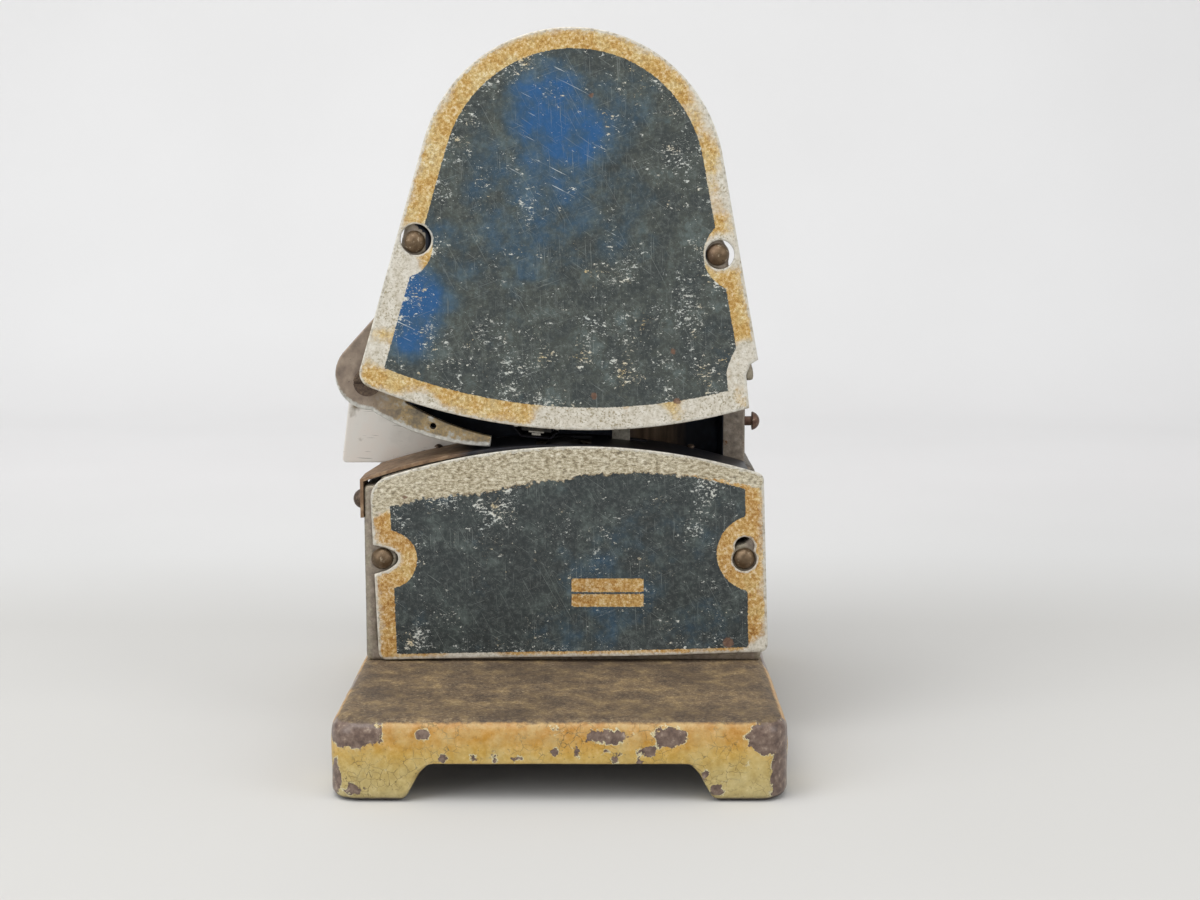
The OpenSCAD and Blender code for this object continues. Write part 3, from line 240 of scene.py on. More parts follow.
# Painted light on the paper: its shades from the darker floor to the brighter wall, each at its distance back
# and up
PAPER_PAINTED_LIGHT = [(0.12, "#cfcecb"), (0.26, "#dddddc"), (0.5, "#e8e7e7"), (1.0, "#efefef")]


def make_stage():
    """A pale paper sweep: the floor, a bend and a wall."""
    bend = [(SWEEP_TURN + SWEEP_RADIUS * math.sin(a), SWEEP_RADIUS * (1 - math.cos(a)))
            for a in np.linspace(0, math.pi / 2, 24)]
    line = [(SWEEP_FRONT, 0)] + bend + [(SWEEP_TURN + SWEEP_RADIUS, SWEEP_TOP)]
    mesh = bpy.data.meshes.new("sweep")
    points = [(side * SWEEP_HALF, y, z) for y, z in line for side in (-1, 1)]
    faces = [(2 * i, 2 * i + 1, 2 * i + 3, 2 * i + 2) for i in range(len(line) - 1)]
    mesh.from_pydata(points, [], faces)
    mesh.shade_smooth()
    mesh.materials.append(sweep_paper())
    sweep = bpy.data.objects.new("sweep", mesh)
    bpy.context.scene.collection.objects.link(sweep)


def sweep_paper():
    """Matt white paper: even and dull, with painted shade that makes it greyer on the floor, so that the
    shadow shows, and painted light that makes it brighter up the wall.
    """
    material, tree, place = new_material("paper_sweep")
    parts = add(tree, "ShaderNodeSeparateXYZ", {0: place}).outputs
    away = add(tree, "ShaderNodeMath", {0: parts["Y"], 1: parts["Z"]}).outputs[0]
    # Painted shade and light: the paper darker on the floor and brighter up the wall
    paper = add(tree, "ShaderNodeValToRGB", {0: away}, stops=PAPER_PAINTED_LIGHT).outputs["Color"]
    mottle = tone(tree, place, 260, [(0.0, "#d8d7d5"), (1.0, "#ffffff")], detail=2)
    paper = add(tree, "ShaderNodeMix", {0: 0.12, MIX_A: paper, MIX_B: mottle}, data_type="RGBA",
        blend_type="MULTIPLY").outputs[MIX_RESULT]
    close_material(tree, finish(paper, rough=0.9))
    return material


# Each lamp's name, place, width and height, and power in watts
LAMPS = [
    ("top_lamp", (-0.25, -0.35, 1.25), (1.1, 0.9), 9.5),
    ("left_lamp", (-1.1, -0.8, 0.7), (0.9, 0.9), 7.0),
    ("right_lamp", (1.2, -0.7, 0.8), (0.8, 0.9), 5.0),
]
# The height over the machine's middle that the lamps aim at
LAMP_AIM = 0.1
# The surroundings light the machine at this strength, and show at full strength behind it
WORLD_LIGHT = 0.55
WORLD_SHADE = "#f5f5f6"
SEEN_SHADE = "#e6e5e3"


def make_lights():
    """Three large soft lamps and an even pale surrounding."""
    aim = Vector((machine_x * MM, 0, LAMP_AIM))
    for name, where, size, power in LAMPS:
        data = bpy.data.lights.new(name, "AREA")
        data.shape = "RECTANGLE"
        data.size, data.size_y = size
        data.energy = power
        lamp = bpy.data.objects.new(name, data)
        lamp.location = where
        lamp.rotation_euler = (aim - Vector(where)).to_track_quat("-Z", "Y").to_euler()
        bpy.context.scene.collection.objects.link(lamp)
    world = bpy.data.worlds.new("pale_room")
    bpy.context.scene.world = world
    world.use_nodes = True
    tree = world.node_tree
    tree.nodes.clear()
    rays = add(tree, "ShaderNodeLightPath").outputs
    seen = rays["Is Camera Ray"]
    for kind in ("Is Glossy Ray", "Is Transmission Ray"):
        seen = add(tree, "ShaderNodeMath", {0: seen, 1: rays[kind]}, operation="MAXIMUM").outputs[0]
    lit = add(tree, "ShaderNodeBackground", {"Color": linear(WORLD_SHADE), "Strength": WORLD_LIGHT})
    shown = add(tree, "ShaderNodeBackground", {"Color": linear(SEEN_SHADE), "Strength": 1.0})
    mixed = add(tree, "ShaderNodeMixShader", {0: seen, 1: lit.outputs[0], 2: shown.outputs[0]})
    add(tree, "ShaderNodeOutputWorld", {"Surface": mixed.outputs[0]})


# Mesh helpers

# Corners nearer than this are one, in metres
MERGE = 0.001 * MM
# Edges that turn by more than this stay sharp in the shading
SHARP = math.radians(50)
# How many waves make an uneven surface
WAVES = 5


def merged(node):
    """A bmesh of a CAD node with its loose corners joined."""
    made = bmesh.new()
    made.from_mesh(nodes[node].data)
    bmesh.ops.remove_doubles(made, verts=made.verts, dist=MERGE)
    return made


def meshed(shape, name):
    """A mesh of a bmesh, which is then freed."""
    mesh = bpy.data.meshes.new(name)
    shape.to_mesh(mesh)
    shape.free()
    return mesh


def place_piece(name, mesh, material, body, slot, *replaced):
    """Makes a finished piece of a mesh: its material, the body it rides on, if one, and the nodes it
    stands for."""
    mesh.materials.clear()
    mesh.materials.append(material)
    piece = bpy.data.objects.new(name, mesh)
    bpy.context.scene.collection.objects.link(piece)
    if body:
        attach(piece, body)
    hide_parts(*replaced)
    return piece


def evaluated(mesh, *modifiers):
    """A mesh after a stack of modifiers, each a kind and its settings."""
    carrier = bpy.data.objects.new("carrier", mesh)
    bpy.context.scene.collection.objects.link(carrier)
    for kind, settings in modifiers:
        modifier = carrier.modifiers.new(kind.lower(), kind)
        for key, value in settings.items():
            setattr(modifier, key, value)
    graph = bpy.context.evaluated_depsgraph_get()
    made = bpy.data.meshes.new_from_object(carrier.evaluated_get(graph))
    bpy.data.objects.remove(carrier)
    return made


def points_of(mesh):
    """The corners of a mesh as rows of x, y, z in mm, with x from the machine's middle."""
    made = np.empty(len(mesh.vertices) * 3)
    mesh.vertices.foreach_get("co", made)
    made = made.reshape(-1, 3) / MM
    made[:, 0] -= machine_x
    return made


def set_points(mesh, points):
    """Gives a mesh the places that points_of() gives."""
    made = points.copy()
    made[:, 0] += machine_x
    mesh.vertices.foreach_set("co", (made * MM).astype(np.float32).ravel())
    mesh.update()


def normals_of(mesh):
    """The way each corner of a mesh faces."""
    made = np.empty(len(mesh.vertices) * 3, np.float32)
    mesh.vertices.foreach_get("normal", made)
    return made.reshape(-1, 3)


def store(mesh, name, values):
    """Keeps one number a corner for the material to read."""
    attribute = mesh.attributes.new(name, "FLOAT", "POINT")
    attribute.data.foreach_set("value", np.asarray(values, np.float32))


def waves(points, size, seed):
    """Smooth uneven values from -1 to 1 with hollows about size mm across, the same each run."""
    random = np.random.default_rng(seed)
    made = np.zeros(len(points))
    for _ in range(WAVES):
        way = random.normal(size=3)
        way /= np.linalg.norm(way)
        pace = 2 * math.pi / (size * random.uniform(0.7, 1.6))
        made += np.sin(points @ way * pace + random.uniform(0, 2 * math.pi))
    return made / WAVES


def zone(points, spots):
    """How far each corner lies in soft round zones of the front, each x, z, radius in mm and strength. A
    zone is at its full strength out to nearly half its radius and fades out a little beyond it."""
    made = np.zeros(len(points))
    for x, z, radius, strength in spots:
        away = np.hypot(points[:, 0] - x, points[:, 2] - z) / radius
        made = np.maximum(made, strength * np.clip(1.6 - away * 1.3, 0, 1) ** 1.4)
    return made


# Sheets: each is drawn from the outline of its CAD node's front face

# A face is in front if it faces forward at least so squarely, and lies this near the foremost corner in mm
SQUARELY = 0.99
FRONT_SLACK = 0.05
# How far a ring's point may lie off its ring in mm, and the distance that stands for no hole at all
RING_SLACK = 0.02
NO_HOLE = 99.0


def front_loops(node):
    """The outlines of a sheet's front face as arrays of x and z in mm, the outer one first."""
    made = merged(node)
    front = min(v.co.y for v in made.verts) + FRONT_SLACK * MM
    chosen = {f for f in made.faces if f.normal.y < -SQUARELY and f.calc_center_median().y < front}
    rim = [e for e in made.edges if len(chosen.intersection(e.link_faces)) == 1]
    around = {}
    for edge in rim:
        for here, there in (edge.verts, reversed(edge.verts)):
            around.setdefault(here, []).append(there)
    loops = []
    while around:
        here = next(iter(around))
        loop = [here]
        while around.get(here):
            there = around[here].pop()
            around[there].remove(here)
            for corner in (here, there):
                if not around[corner]:
                    del around[corner]
            here = there
            if here is loop[0]:
                break
            loop.append(here)
        loops.append(np.array([(v.co.x / MM - machine_x, v.co.z / MM) for v in loop]))
    made.free()
    loops.sort(key=loop_area, reverse=True)
    return loops


def loop_area(loop):
    """The area of a closed outline."""
    x, z = loop[:, 0], loop[:, 1]
    return 0.5 * abs(float(np.sum(x * np.roll(z, -1) - np.roll(x, -1) * z)))


def with_steps(loop, step):
    """A closed outline with points added so that no side is longer than step."""
    made = []
    for here, there in zip(loop, np.roll(loop, -1, axis=0)):
        count = max(1, math.ceil(np.linalg.norm(there - here) / step))
        made += [here + (there - here) * i / count for i in range(count)]
    return np.array(made)


def distance_to(points, loop):
    """The distance in mm from each point of the front to a closed outline."""
    made = np.full(len(points), np.inf)
    for here, there in zip(loop, np.roll(loop, -1, axis=0)):
        side = there - here
        along = np.clip(((points - here) @ side) / max(side @ side, 1e-12), 0, 1)
        made = np.minimum(made, np.linalg.norm(points - here - along[:, None] * side, axis=1))
    return made


def within(points, loop):
    """Which points of the front lie inside a closed outline."""
    made = np.zeros(len(points), bool)
    x, z = points[:, 0], points[:, 1]
    for (x0, z0), (x1, z1) in zip(loop, np.roll(loop, -1, axis=0)):
        if z0 == z1:
            continue
        crosses = (z0 > z) != (z1 > z)
        made ^= crosses & (x < (x1 - x0) * (z - z0) / (z1 - z0) + x0)
    return made


def signed_distance(points, loop):
    """Distance to a closed outline in mm, positive inside it."""
    return np.where(within(points, loop), 1, -1) * distance_to(points, loop)


def in_sheet(points, loops):
    """Which points lie inside a sheet's outer outline and outside its holes."""
    made = within(points, loops[0])
    for hole in loops[1:]:
        made &= ~within(points, hole)
    return made


def sheet_points(loops, step, edge_r):
    """The points of a flat sheet: its outlines, rings beside them that round the edge, and rows between."""
    low, high = loops[0].min(0), loops[0].max(0)
    rows = np.arange(low[1], high[1], step * math.sqrt(3) / 2)
    columns = np.arange(low[0], high[0], step)
    grid = np.array([(x + (i % 2) * step / 2, z) for i, z in enumerate(rows) for x in columns])
    rings = [0.3 * edge_r, edge_r, edge_r + 0.5 * step]
    inner = [grid]
    for loop in loops:
        side = np.roll(loop, -1, axis=0) - np.roll(loop, 1, axis=0)
        across = np.column_stack([-side[:, 1], side[:, 0]]) / np.linalg.norm(side, axis=1)[:, None]
        for ring in rings:
            inner += [loop + across * ring, loop - across * ring]
    inner = np.concatenate(inner)
    depth = np.min([distance_to(inner, loop) for loop in loops], axis=0)
    keep = in_sheet(inner, loops) & (depth > 0.25 * edge_r)
    # A row's point stays clear of the rings, and a ring's point goes where another edge comes too near
    on_ring = np.arange(len(inner)) >= len(grid)
    keep &= on_ring | (depth > rings[-1] + 0.3 * step)
    off_ring = np.min(np.abs(depth[:, None] - np.array(rings)), axis=1)
    keep &= ~on_ring | (off_ring < RING_SLACK)
    return np.concatenate(loops + [inner[keep]])


def sheet_triangles(flat, loops):
    """The corners and triangles of a flat sheet over its points, each triangle turned the same way."""
    edges, start = [], 0
    for loop in loops:
        edges += [(start + i, start + (i + 1) % len(loop)) for i in range(len(loop))]
        start += len(loop)
    corners, _, faces, _, _, _ = delaunay_2d_cdt([Vector(p) for p in flat], edges, [], 1, 1e-4)
    corners = np.array([tuple(c) for c in corners])
    faces = np.array([tuple(f) for f in faces])
    faces = faces[in_sheet(corners[faces].mean(axis=1), loops)]
    a, b, c = (corners[faces[:, i]] for i in range(3))
    turned = (b[:, 0] - a[:, 0]) * (c[:, 1] - a[:, 1]) - (b[:, 1] - a[:, 1]) * (c[:, 0] - a[:, 0]) < 0
    faces[turned] = faces[turned][:, ::-1]
    return corners, faces.tolist()


def sheet_mesh(node, step, edge_r, bend=None):
    """A sheet with rounded edges, drawn over its node's front outline with corners about step mm
    apart. bend gives how far each point of it stands forward of the flat, in mm."""
    loops = [with_steps(loop, step) for loop in front_loops(node)]
    corners, faces = sheet_triangles(sheet_points(loops, step, edge_r), loops)
    rim = distance_to(corners, loops[0])
    hole_rim = np.full(len(corners), NO_HOLE)
    for hole in loops[1:]:
        hole_rim = np.minimum(hole_rim, distance_to(corners, hole))
    depth = np.minimum(np.minimum(rim, hole_rim), edge_r)
    fall = edge_r - np.sqrt(np.maximum(edge_r ** 2 - (edge_r - depth) ** 2, 0))
    stand = bend(corners) if bend else 0
    low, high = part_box(node)
    front = low.y / MM + fall - stand
    back = high.y / MM - 0.5 * fall - stand
    points = np.concatenate([np.column_stack([corners[:, 0], y, corners[:, 1]]) for y in (front, back)])

    count = len(corners)
    pairs = dict.fromkeys((face[i], face[(i + 1) % 3]) for face in faces for i in range(3))
    walls = [(p, q) for p, q in pairs if (q, p) not in pairs]
    solid = faces + [[i + count for i in reversed(face)] for face in faces]
    solid += [(q, p, p + count, q + count) for p, q in walls]
    used = sorted({i for face in solid for i in face})
    number = {old: new for new, old in enumerate(used)}
    mesh = bpy.data.meshes.new(node)
    mesh.from_pydata([(0, 0, 0)] * len(used), [], [[number[i] for i in face] for face in solid])
    set_points(mesh, points[used])
    store(mesh, "rim", np.tile(rim, 2)[used])
    store(mesh, "hole_rim", np.tile(hole_rim, 2)[used])
    mesh.shade_smooth()
    mesh.set_sharp_from_angle(angle=SHARP)
    return mesh, loops[0]


# Castings: each keeps its node's shape, with the soft corners and slight waves that a mould leaves

# The size of a casting's facets, and how uneven its surface is, in wide waves and in smaller hollows
CAST_STEP = 1.0
CAST_WAVE = 0.08
WAVE_WIDE = 14
HOLLOW_WIDE = 4
BOSS_SIDES = 32


def kept_in(points, node):
    """The places of a piece, held inside its node's box."""
    low, high = (corner / MM - Vector((machine_x, 0, 0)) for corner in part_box(node))
    return np.clip(points, np.array(low), np.array(high))


def casting_mesh(node, bosses=()):
    """A casting with soft corners. bosses are round bars along Y that are cast onto it, each its x, z,
    radius, front and back in mm."""
    shape = merged(node)
    for x, z, radius, front, back in bosses:
        put = Matrix.Translation(Vector((x + machine_x, (front + back) / 2, z)) * MM)
        put = put @ Matrix.Rotation(math.pi / 2, 4, "X")
        bmesh.ops.create_cone(shape, cap_ends=True, segments=BOSS_SIDES, radius1=radius * MM,
            radius2=radius * MM, depth=(back - front) * MM, matrix=put)
    mesh = evaluated(meshed(shape, node), ("REMESH", {"mode": "VOXEL", "voxel_size": CAST_STEP * MM}),
        ("SMOOTH", {"factor": 0.5, "iterations": 2}))
    points = points_of(mesh)
    uneven = CAST_WAVE * (waves(points, WAVE_WIDE, 3) + 0.4 * waves(points, HOLLOW_WIDE, 5))
    set_points(mesh, kept_in(points + normals_of(mesh) * uneven[:, None], node))
    mesh.shade_smooth()
    return mesh


# The base

# Chips in its enamel that the photograph shows in front: x, z and half sizes in mm
FRONT_CHIPS = [
    (-37.3, 19.1, 1.9, 1.5), (-31.7, 12.7, 1.4, 1.4), (-23.2, 12.7, 0.8, 0.7), (-18, 13.0, 0.8, 1.2),
    (-12, 12.4, 1.1, 0.8), (-0.8, 20.3, 1.3, 0.9), (13.1, 18.6, 5.6, 2.0), (-1.3, 14.3, 1.1, 1.1),
    (4.7, 14.8, 0.7, 1.4), (15.6, 12.4, 1.0, 1.4), (30.3, 18.4, 4.4, 2.9), (24.8, 14.5, 2.9, 1.6),
    (12.6, 14.4, 0.8, 0.5), (21.6, 11.4, 0.9, 0.6), (43.2, 3.4, 1.9, 1.7), (39.9, 7.7, 1.1, 1.2),
    (44.8, 5.9, 0.6, 0.5), (-56.5, 3.7, 2.3, 1.5), (51.5, 11.0, 0.7, 0.7), (-47.8, 9.0, 0.5, 0.5),
]
# Corners rubbed down to the primer: x, y, z and half sizes in mm
CORNER_CHIPS = [
    (-56.5, -83.0, 19.5, 8.5, 8.0, 4.6), (57.5, -82.0, 18.0, 7.0, 9.0, 5.0),
    (60.5, -80.0, 7.5, 3.4, 8.0, 9.0), (-61.5, -80.0, 6.5, 2.2, 7.0, 5.0),
    (-61.0, -40.0, 21.5, 2.2, 9.0, 2.6), (61.5, -12.0, 21.0, 2.4, 13.0, 3.0),
    (-61.5, 30.0, 20.8, 2.4, 7.0, 3.2), (61.0, 55.0, 21.5, 2.6, 8.0, 2.6),
    (-58.0, 82.0, 19.0, 8.0, 8.0, 5.5), (57.0, 83.0, 19.5, 9.0, 7.0, 4.6),
    (18.0, 85.5, 19.5, 10.0, 3.0, 3.4), (-27.0, 85.5, 20.5, 5.0, 3.0, 2.0),
]
# How many chips are strewn over its sides and its back, and how far from its middle the sides lie
SIDE_CHIPS = 34
BACK_CHIPS = 11
BASE_SIDE = 62
# Where these chips lie, from and to: along the sides, across the back, and in height, low down and high up
CHIPS_ALONG = (-78, 82)
CHIPS_ACROSS = (-55, 55)
LOW_CHIPS = (1, 4)
HIGH_CHIPS = (11, 21)
# How far into the casting a chip is measured, in front and elsewhere, how deep it is cut, and how wide its
# bank is
FRONT_REACH = 4.0
CHIP_REACH = 3.0
CHIP_DEPTH = 0.16
CHIP_BANK = 0.8
# What a corner reads that is far from every chip
UNCHIPPED = -5.0


def base_chips(points):
    """How far each corner lies inside a chip in mm, negative outside."""
    front, back = (corner.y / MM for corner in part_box("base_casting"))
    random = np.random.default_rng(11)
    chips = [(x, front, z, rx, FRONT_REACH, rz) for x, z, rx, rz in FRONT_CHIPS] + CORNER_CHIPS
    for _ in range(SIDE_CHIPS):
        along = random.uniform(*CHIPS_ALONG)
        size = random.uniform(0.6, 2.4)
        height = random.choice([random.uniform(*LOW_CHIPS), random.uniform(*HIGH_CHIPS)])
        side = random.choice([-BASE_SIDE, BASE_SIDE])
        chips.append((side, along, height, CHIP_REACH, size * 1.3, size))
    for _ in range(BACK_CHIPS):
        size = random.uniform(0.6, 2.2)
        across = random.uniform(*CHIPS_ACROSS)
        chips.append((across, back, random.uniform(*HIGH_CHIPS), size * 1.3, CHIP_REACH, size))
    made = np.full(len(points), UNCHIPPED)
    for x, y, z, rx, ry, rz in chips:
        away = np.linalg.norm((points - (x, y, z)) / (rx, ry, rz), axis=1)
        made = np.maximum(made, (1 - away) * min(rx, rz, max(ry, 1.0)))
    return made


def make_base():
    """The base: an enamelled casting with its chips cut in."""
    mesh = casting_mesh("base_casting")
    points = points_of(mesh)
    chip = base_chips(points)
    sunk = CHIP_DEPTH * np.clip(chip / CHIP_BANK + 0.5, 0, 1)
    set_points(mesh, kept_in(points - normals_of(mesh) * sunk[:, None], "base_casting"))
    store(mesh, "chip", chip)
    place_piece("enamelled_base", mesh, chipped_enamel(), "root", "base_enamel", "base_casting")


# The cells between the enamel's cracks, and how far and how often the cracks bend, in mm
CRACK_CELL = 2.6
CRACK_BEND = 3.0
CRACK_TURN = 3.0


def crazed_enamel(tree, place):
    """The enamel itself: dull and speckled low down, deep mustard above, with brown cracks and specks."""
    height = add(tree, "ShaderNodeSeparateXYZ", {0: place}).outputs["Z"]
    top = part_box("base_casting")[1].z
    rising = add(tree, "ShaderNodeMapRange", {"Value": height, "From Max": top}).outputs["Result"]
    band = add(tree, "ShaderNodeMath", {0: rising, 1: relief(tree, place, 9, 0.22)}).outputs[0]
    shade = add(tree, "ShaderNodeValToRGB", {0: band}, stops=[(0.1, "#b5a674"), (0.5, "#b89d58"),
        (0.7, "#c29630"), (0.86, "#c4870a"), (1.0, "#b07005")]).outputs["Color"]
    speckle = tone(tree, place, 2.2, [(0.0, "#77683a"), (0.45, "#b3a166"), (0.75, "#d3c48c"),
        (1.0, "#ece0b4")], detail=7, rough=0.75, seed=3.1, spread=0.17)
    shade = add(tree, "ShaderNodeMix", {0: 0.3, MIX_A: shade, MIX_B: speckle}, data_type="RGBA")
    made = finish(shade.outputs[MIX_RESULT], rough=0.38, height=0.12)

    wobble = add(tree, "ShaderNodeTexNoise", {"Vector": place, "Scale": 1 / (CRACK_TURN * MM),
        "Detail": 4})
    bent = add(tree, "ShaderNodeVectorMath", {0: wobble.outputs["Color"], 1: (CRACK_BEND * MM,) * 3},
        operation="MULTIPLY").outputs[0]
    bent = add(tree, "ShaderNodeVectorMath", {0: place, 1: bent}).outputs[0]
    cracks = add(tree, "ShaderNodeTexVoronoi", {"Vector": bent, "Scale": 1 / (CRACK_CELL * MM)},
        feature="DISTANCE_TO_EDGE").outputs["Distance"]
    cracks = add(tree, "ShaderNodeMapRange", {"Value": cracks, "From Min": 0.01, "From Max": 0.035,
        "To Min": 1.0, "To Max": 0.0}).outputs["Result"]
    cracked = patches(tree, place, 6, 0.52, soft=0.08, seed=5.0)
    made = over(tree, made, finish("#6f5f34", rough=0.7, height=0.07), cracks, cracked, 0.9)
    specks = patches(tree, place, 0.9, 0.66, soft=0.02, seed=9.0)
    made = over(tree, made, finish("#7c6a3c", rough=0.6, height=0.06), specks, 0.7)
    worn = patches(tree, place, 7, 0.56, soft=0.1, detail=6, seed=11.0)
    return over(tree, made, finish("#c9bd8c", rough=0.5, height=0.1), worn, 0.4)


def baked_grime(tree, place):
    """Oil and dust baked onto the base's top: brown and streaky, with dark patches and pale scuffs."""
    shade = tone(tree, place, 8, [(0.0, "#33261e"), (0.35, "#5c4936"), (0.6, "#826b4b"), (0.8, "#a58a5c"),
        (1.0, "#c0a878")], detail=9, rough=0.78, seed=6.0, spread=0.15)
    drawn = add(tree, "ShaderNodeMapping", {"Vector": place, "Scale": (0.8, 1.2, 1)}).outputs["Vector"]
    streaks = tone(tree, drawn, 0.9, [(0.0, "#2b221d"), (0.45, "#635443"), (0.7, "#8a795f"),
        (1.0, "#c9b895")], detail=6, rough=0.85, seed=2.0, spread=0.14)
    shade = add(tree, "ShaderNodeMix", {0: 0.5, MIX_A: shade, MIX_B: streaks}, data_type="RGBA")
    made = finish(shade.outputs[MIX_RESULT], rough=0.75, height=0.05)
    dark = patches(tree, place, 24, 0.53, soft=0.1, detail=9, rough=0.7, seed=13.0)
    made = over(tree, made, finish("#352a24", rough=0.6, height=0.05), dark, 0.55)
    scuffs = patches(tree, place, 2.2, 0.66, soft=0.03, detail=8, rough=0.75, seed=15.0)
    return over(tree, made, finish("#b8a680", rough=0.7, height=0.05), scuffs, 0.85)


def chipped_enamel():
    """Stoved enamel on cast iron: glossy mustard under grime, with chips that show a plum-brown primer."""
    material, tree, place = new_material("chipped_enamel")
    plum = tone(tree, place, 2.0, [(0.0, "#4a3a33"), (0.4, "#665349"), (0.75, "#806d60"), (1.0, "#a59485")],
        detail=6, rough=0.65, seed=1.2, spread=0.2)
    large = inside(tree, place, "chip", 0.0, ragged=1.3, size=2.6, soft=0.06)
    pinholes = patches(tree, place, 1.1, 0.735, soft=0.008, seed=2.3)
    chipped = add(tree, "ShaderNodeMath", {0: large, 1: pinholes}, operation="MAXIMUM").outputs[0]
    made = over(tree, crazed_enamel(tree, place), finish(plum, rough=0.3), chipped)

    # The enamel is broken back to a pale edge round part of each chip
    near = inside(tree, place, "chip", -0.28, ragged=1.3, size=2.6, soft=0.06)
    broken = patches(tree, place, 3, 0.5, seed=4.4)
    edge = add(tree, "ShaderNodeMath", {0: near, 1: broken}, operation="MULTIPLY").outputs[0]
    edge = add(tree, "ShaderNodeMath", {0: edge, 1: chipped}, operation="SUBTRACT", use_clamp=True)
    made = over(tree, made, finish("#cfc6a0", rough=0.5, height=0.12), edge.outputs[0])

    facing = add(tree, "ShaderNodeNewGeometry").outputs["Normal"]
    up = add(tree, "ShaderNodeSeparateXYZ", {0: facing}).outputs["Z"]
    up = add(tree, "ShaderNodeMath", {0: up, 1: relief(tree, place, 2.2, 0.3)}).outputs[0]
    on_top = add(tree, "ShaderNodeMapRange", {"Value": up, "From Min": 0.88, "From Max": 1.02})
    made = over(tree, made, baked_grime(tree, place), on_top.outputs["Result"])
    # Painted shade: darker where the casting faces down
    painted_underside_shade = add(tree, "ShaderNodeMapRange", {"Value": up, "From Min": -0.3, "From Max": -0.6})
    made = over(tree, made, finish("#4b4440", rough=0.8), painted_underside_shade.outputs["Result"])
    close_material(tree, made, relief(tree, place, 1.2, 0.05, detail=6))
    return material


# Cover plates: brass sheet with a printed gold border and a field of slate lacquer

# The size of the plates' facets, and how far their edges are rounded
PLATE_STEP = 0.9
PLATE_EDGE = 0.3

# Radius of the cover screws' heads, and their height over the castings
HEAD_R = 3.4
HEAD_H = 2.6

# Each plate's border, shades and wear. scallops: the border's rounds at its screws, as x and z from the
# screw and radius. slates and ambers: shades of the field and of the gold, from dark to light. blue: where
# the lacquer stays blue. bare: where the gold has gone. flecks: where chips and rubbed specks lie thickest.
# These three hold x, z, radius and strength. edge_flecks: the strength and the width of the specks along the
# border. rust: x, z and radius of its rust spots. boxes: middle and half sizes of two blank gold boxes in the
# lower field
UPPER = {
    "border": 6.5,
    "scallops": [(-3.9, -1.2, 9.4), (6.5, 0.0, 10.8)],
    "slates": ("#1d2426", "#2e3535", "#434841", "#606d6b"),
    "ambers": ("#a8752e", "#bd9048", "#c8b07b", "#cbc09c"),
    "blue": [(-4.0, 190, 17, 0.9), (2.8, 183, 17, 0.85), (-2.0, 172, 18, 0.6), (-10, 156, 24, 0.42),
        (10, 160, 20, 0.35), (-18, 172, 18, 0.38), (-44.0, 135, 13, 0.95), (-46.0, 126, 13, 0.85),
        (14, 190, 16, 0.4), (-36, 148, 16, 0.35)],
    "bare": [(-49, 143, 8, 1.0), (-52, 132, 8, 0.9), (-1, 96.5, 9, 1.0), (11, 96, 12, 1.0), (25, 98, 9, 0.8),
        (54.5, 118, 5, 0.7), (-43, 100, 9, 0.6), (47, 148, 7, 0.7), (-43, 153, 6, 0.4), (44, 104, 12, 0.6),
        (50, 112, 8, 0.5), (-54, 118, 6, 0.5), (38, 186, 10, 0.25), (45, 165, 10, 0.35)],
    "flecks": [(-34, 178, 9, 0.9), (-41, 168, 7, 0.8), (33, 192, 8, 0.8), (39, 178, 10, 0.7),
        (19, 148, 10, 0.6), (-7, 160, 9, 0.6), (-39, 122, 8, 0.9), (-35, 112, 9, 0.8), (39, 132, 9, 0.7),
        (11, 122, 22, 0.6), (36, 112, 14, 0.7), (-9, 112, 20, 0.7), (46, 108, 8, 0.9), (-20, 118, 16, 0.6),
        (-30, 190, 10, 0.6), (20, 200, 12, 0.5)],
    "edge_flecks": (0.75, 7),
    "rust": [(9.4, 105.0, 1.0), (34.5, 103.4, 1.1), (33.2, 118.6, 0.8), (8.6, 194.0, 0.7)],
}
LOWER = {
    "border": 5.8,
    "scallops": [(2.2, -0.8, 8.2), (3.3, 1.8, 11.8)],
    "slates": ("#0e1418", "#1b2327", "#2b3434", "#55605d"),
    "ambers": ("#8f5520", "#ab6f30", "#bd8c4c", "#c6ab74"),
    "blue": [(13, 45, 20, 0.32), (31, 62, 16, 0.25), (9, 32, 18, 0.28), (-39, 78, 9, 0.4),
        (41, 34, 14, 0.22)],
    "bare": [(-55, 76, 7, 1.0), (-44, 80, 9, 1.0), (61, 84, 5, 0.5), (-29, 27, 12, 0.3), (61, 26, 5, 0.7)],
    "flecks": [(-37, 76, 10, 0.9), (-21, 72, 12, 0.7), (41, 76, 10, 0.8), (49, 68, 8, 0.8), (39, 61, 8, 0.75),
        (-39, 34, 9, 0.7), (-24, 58, 10, 0.5), (45, 44, 8, 0.5), (-44, 30, 6, 0.9), (13, 64, 14, 0.35)],
    "edge_flecks": (0.6, 6),
    "rust": [(50.5, 29.0, 1.6), (-48.0, 74.0, 0.8)],
    "boxes": [(13.5, 46.9, 11.0, 2.1), (13.5, 42.1, 11.0, 1.9)],
}


def screw_middles(node):
    """The middles in mm of a plate's two screw heads, of which the left one is the higher if they differ."""
    low, high = (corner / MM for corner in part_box(node))
    return [(low.x + HEAD_R - machine_x, high.z - HEAD_R), (high.x - HEAD_R - machine_x, low.z + HEAD_R)]


def spots_of(flat, spots):
    """How far each point lies inside the nearest of several round spots in mm, negative outside."""
    return np.max([radius - np.hypot(flat[:, 0] - x, flat[:, 1] - z) for x, z, radius in spots], axis=0)


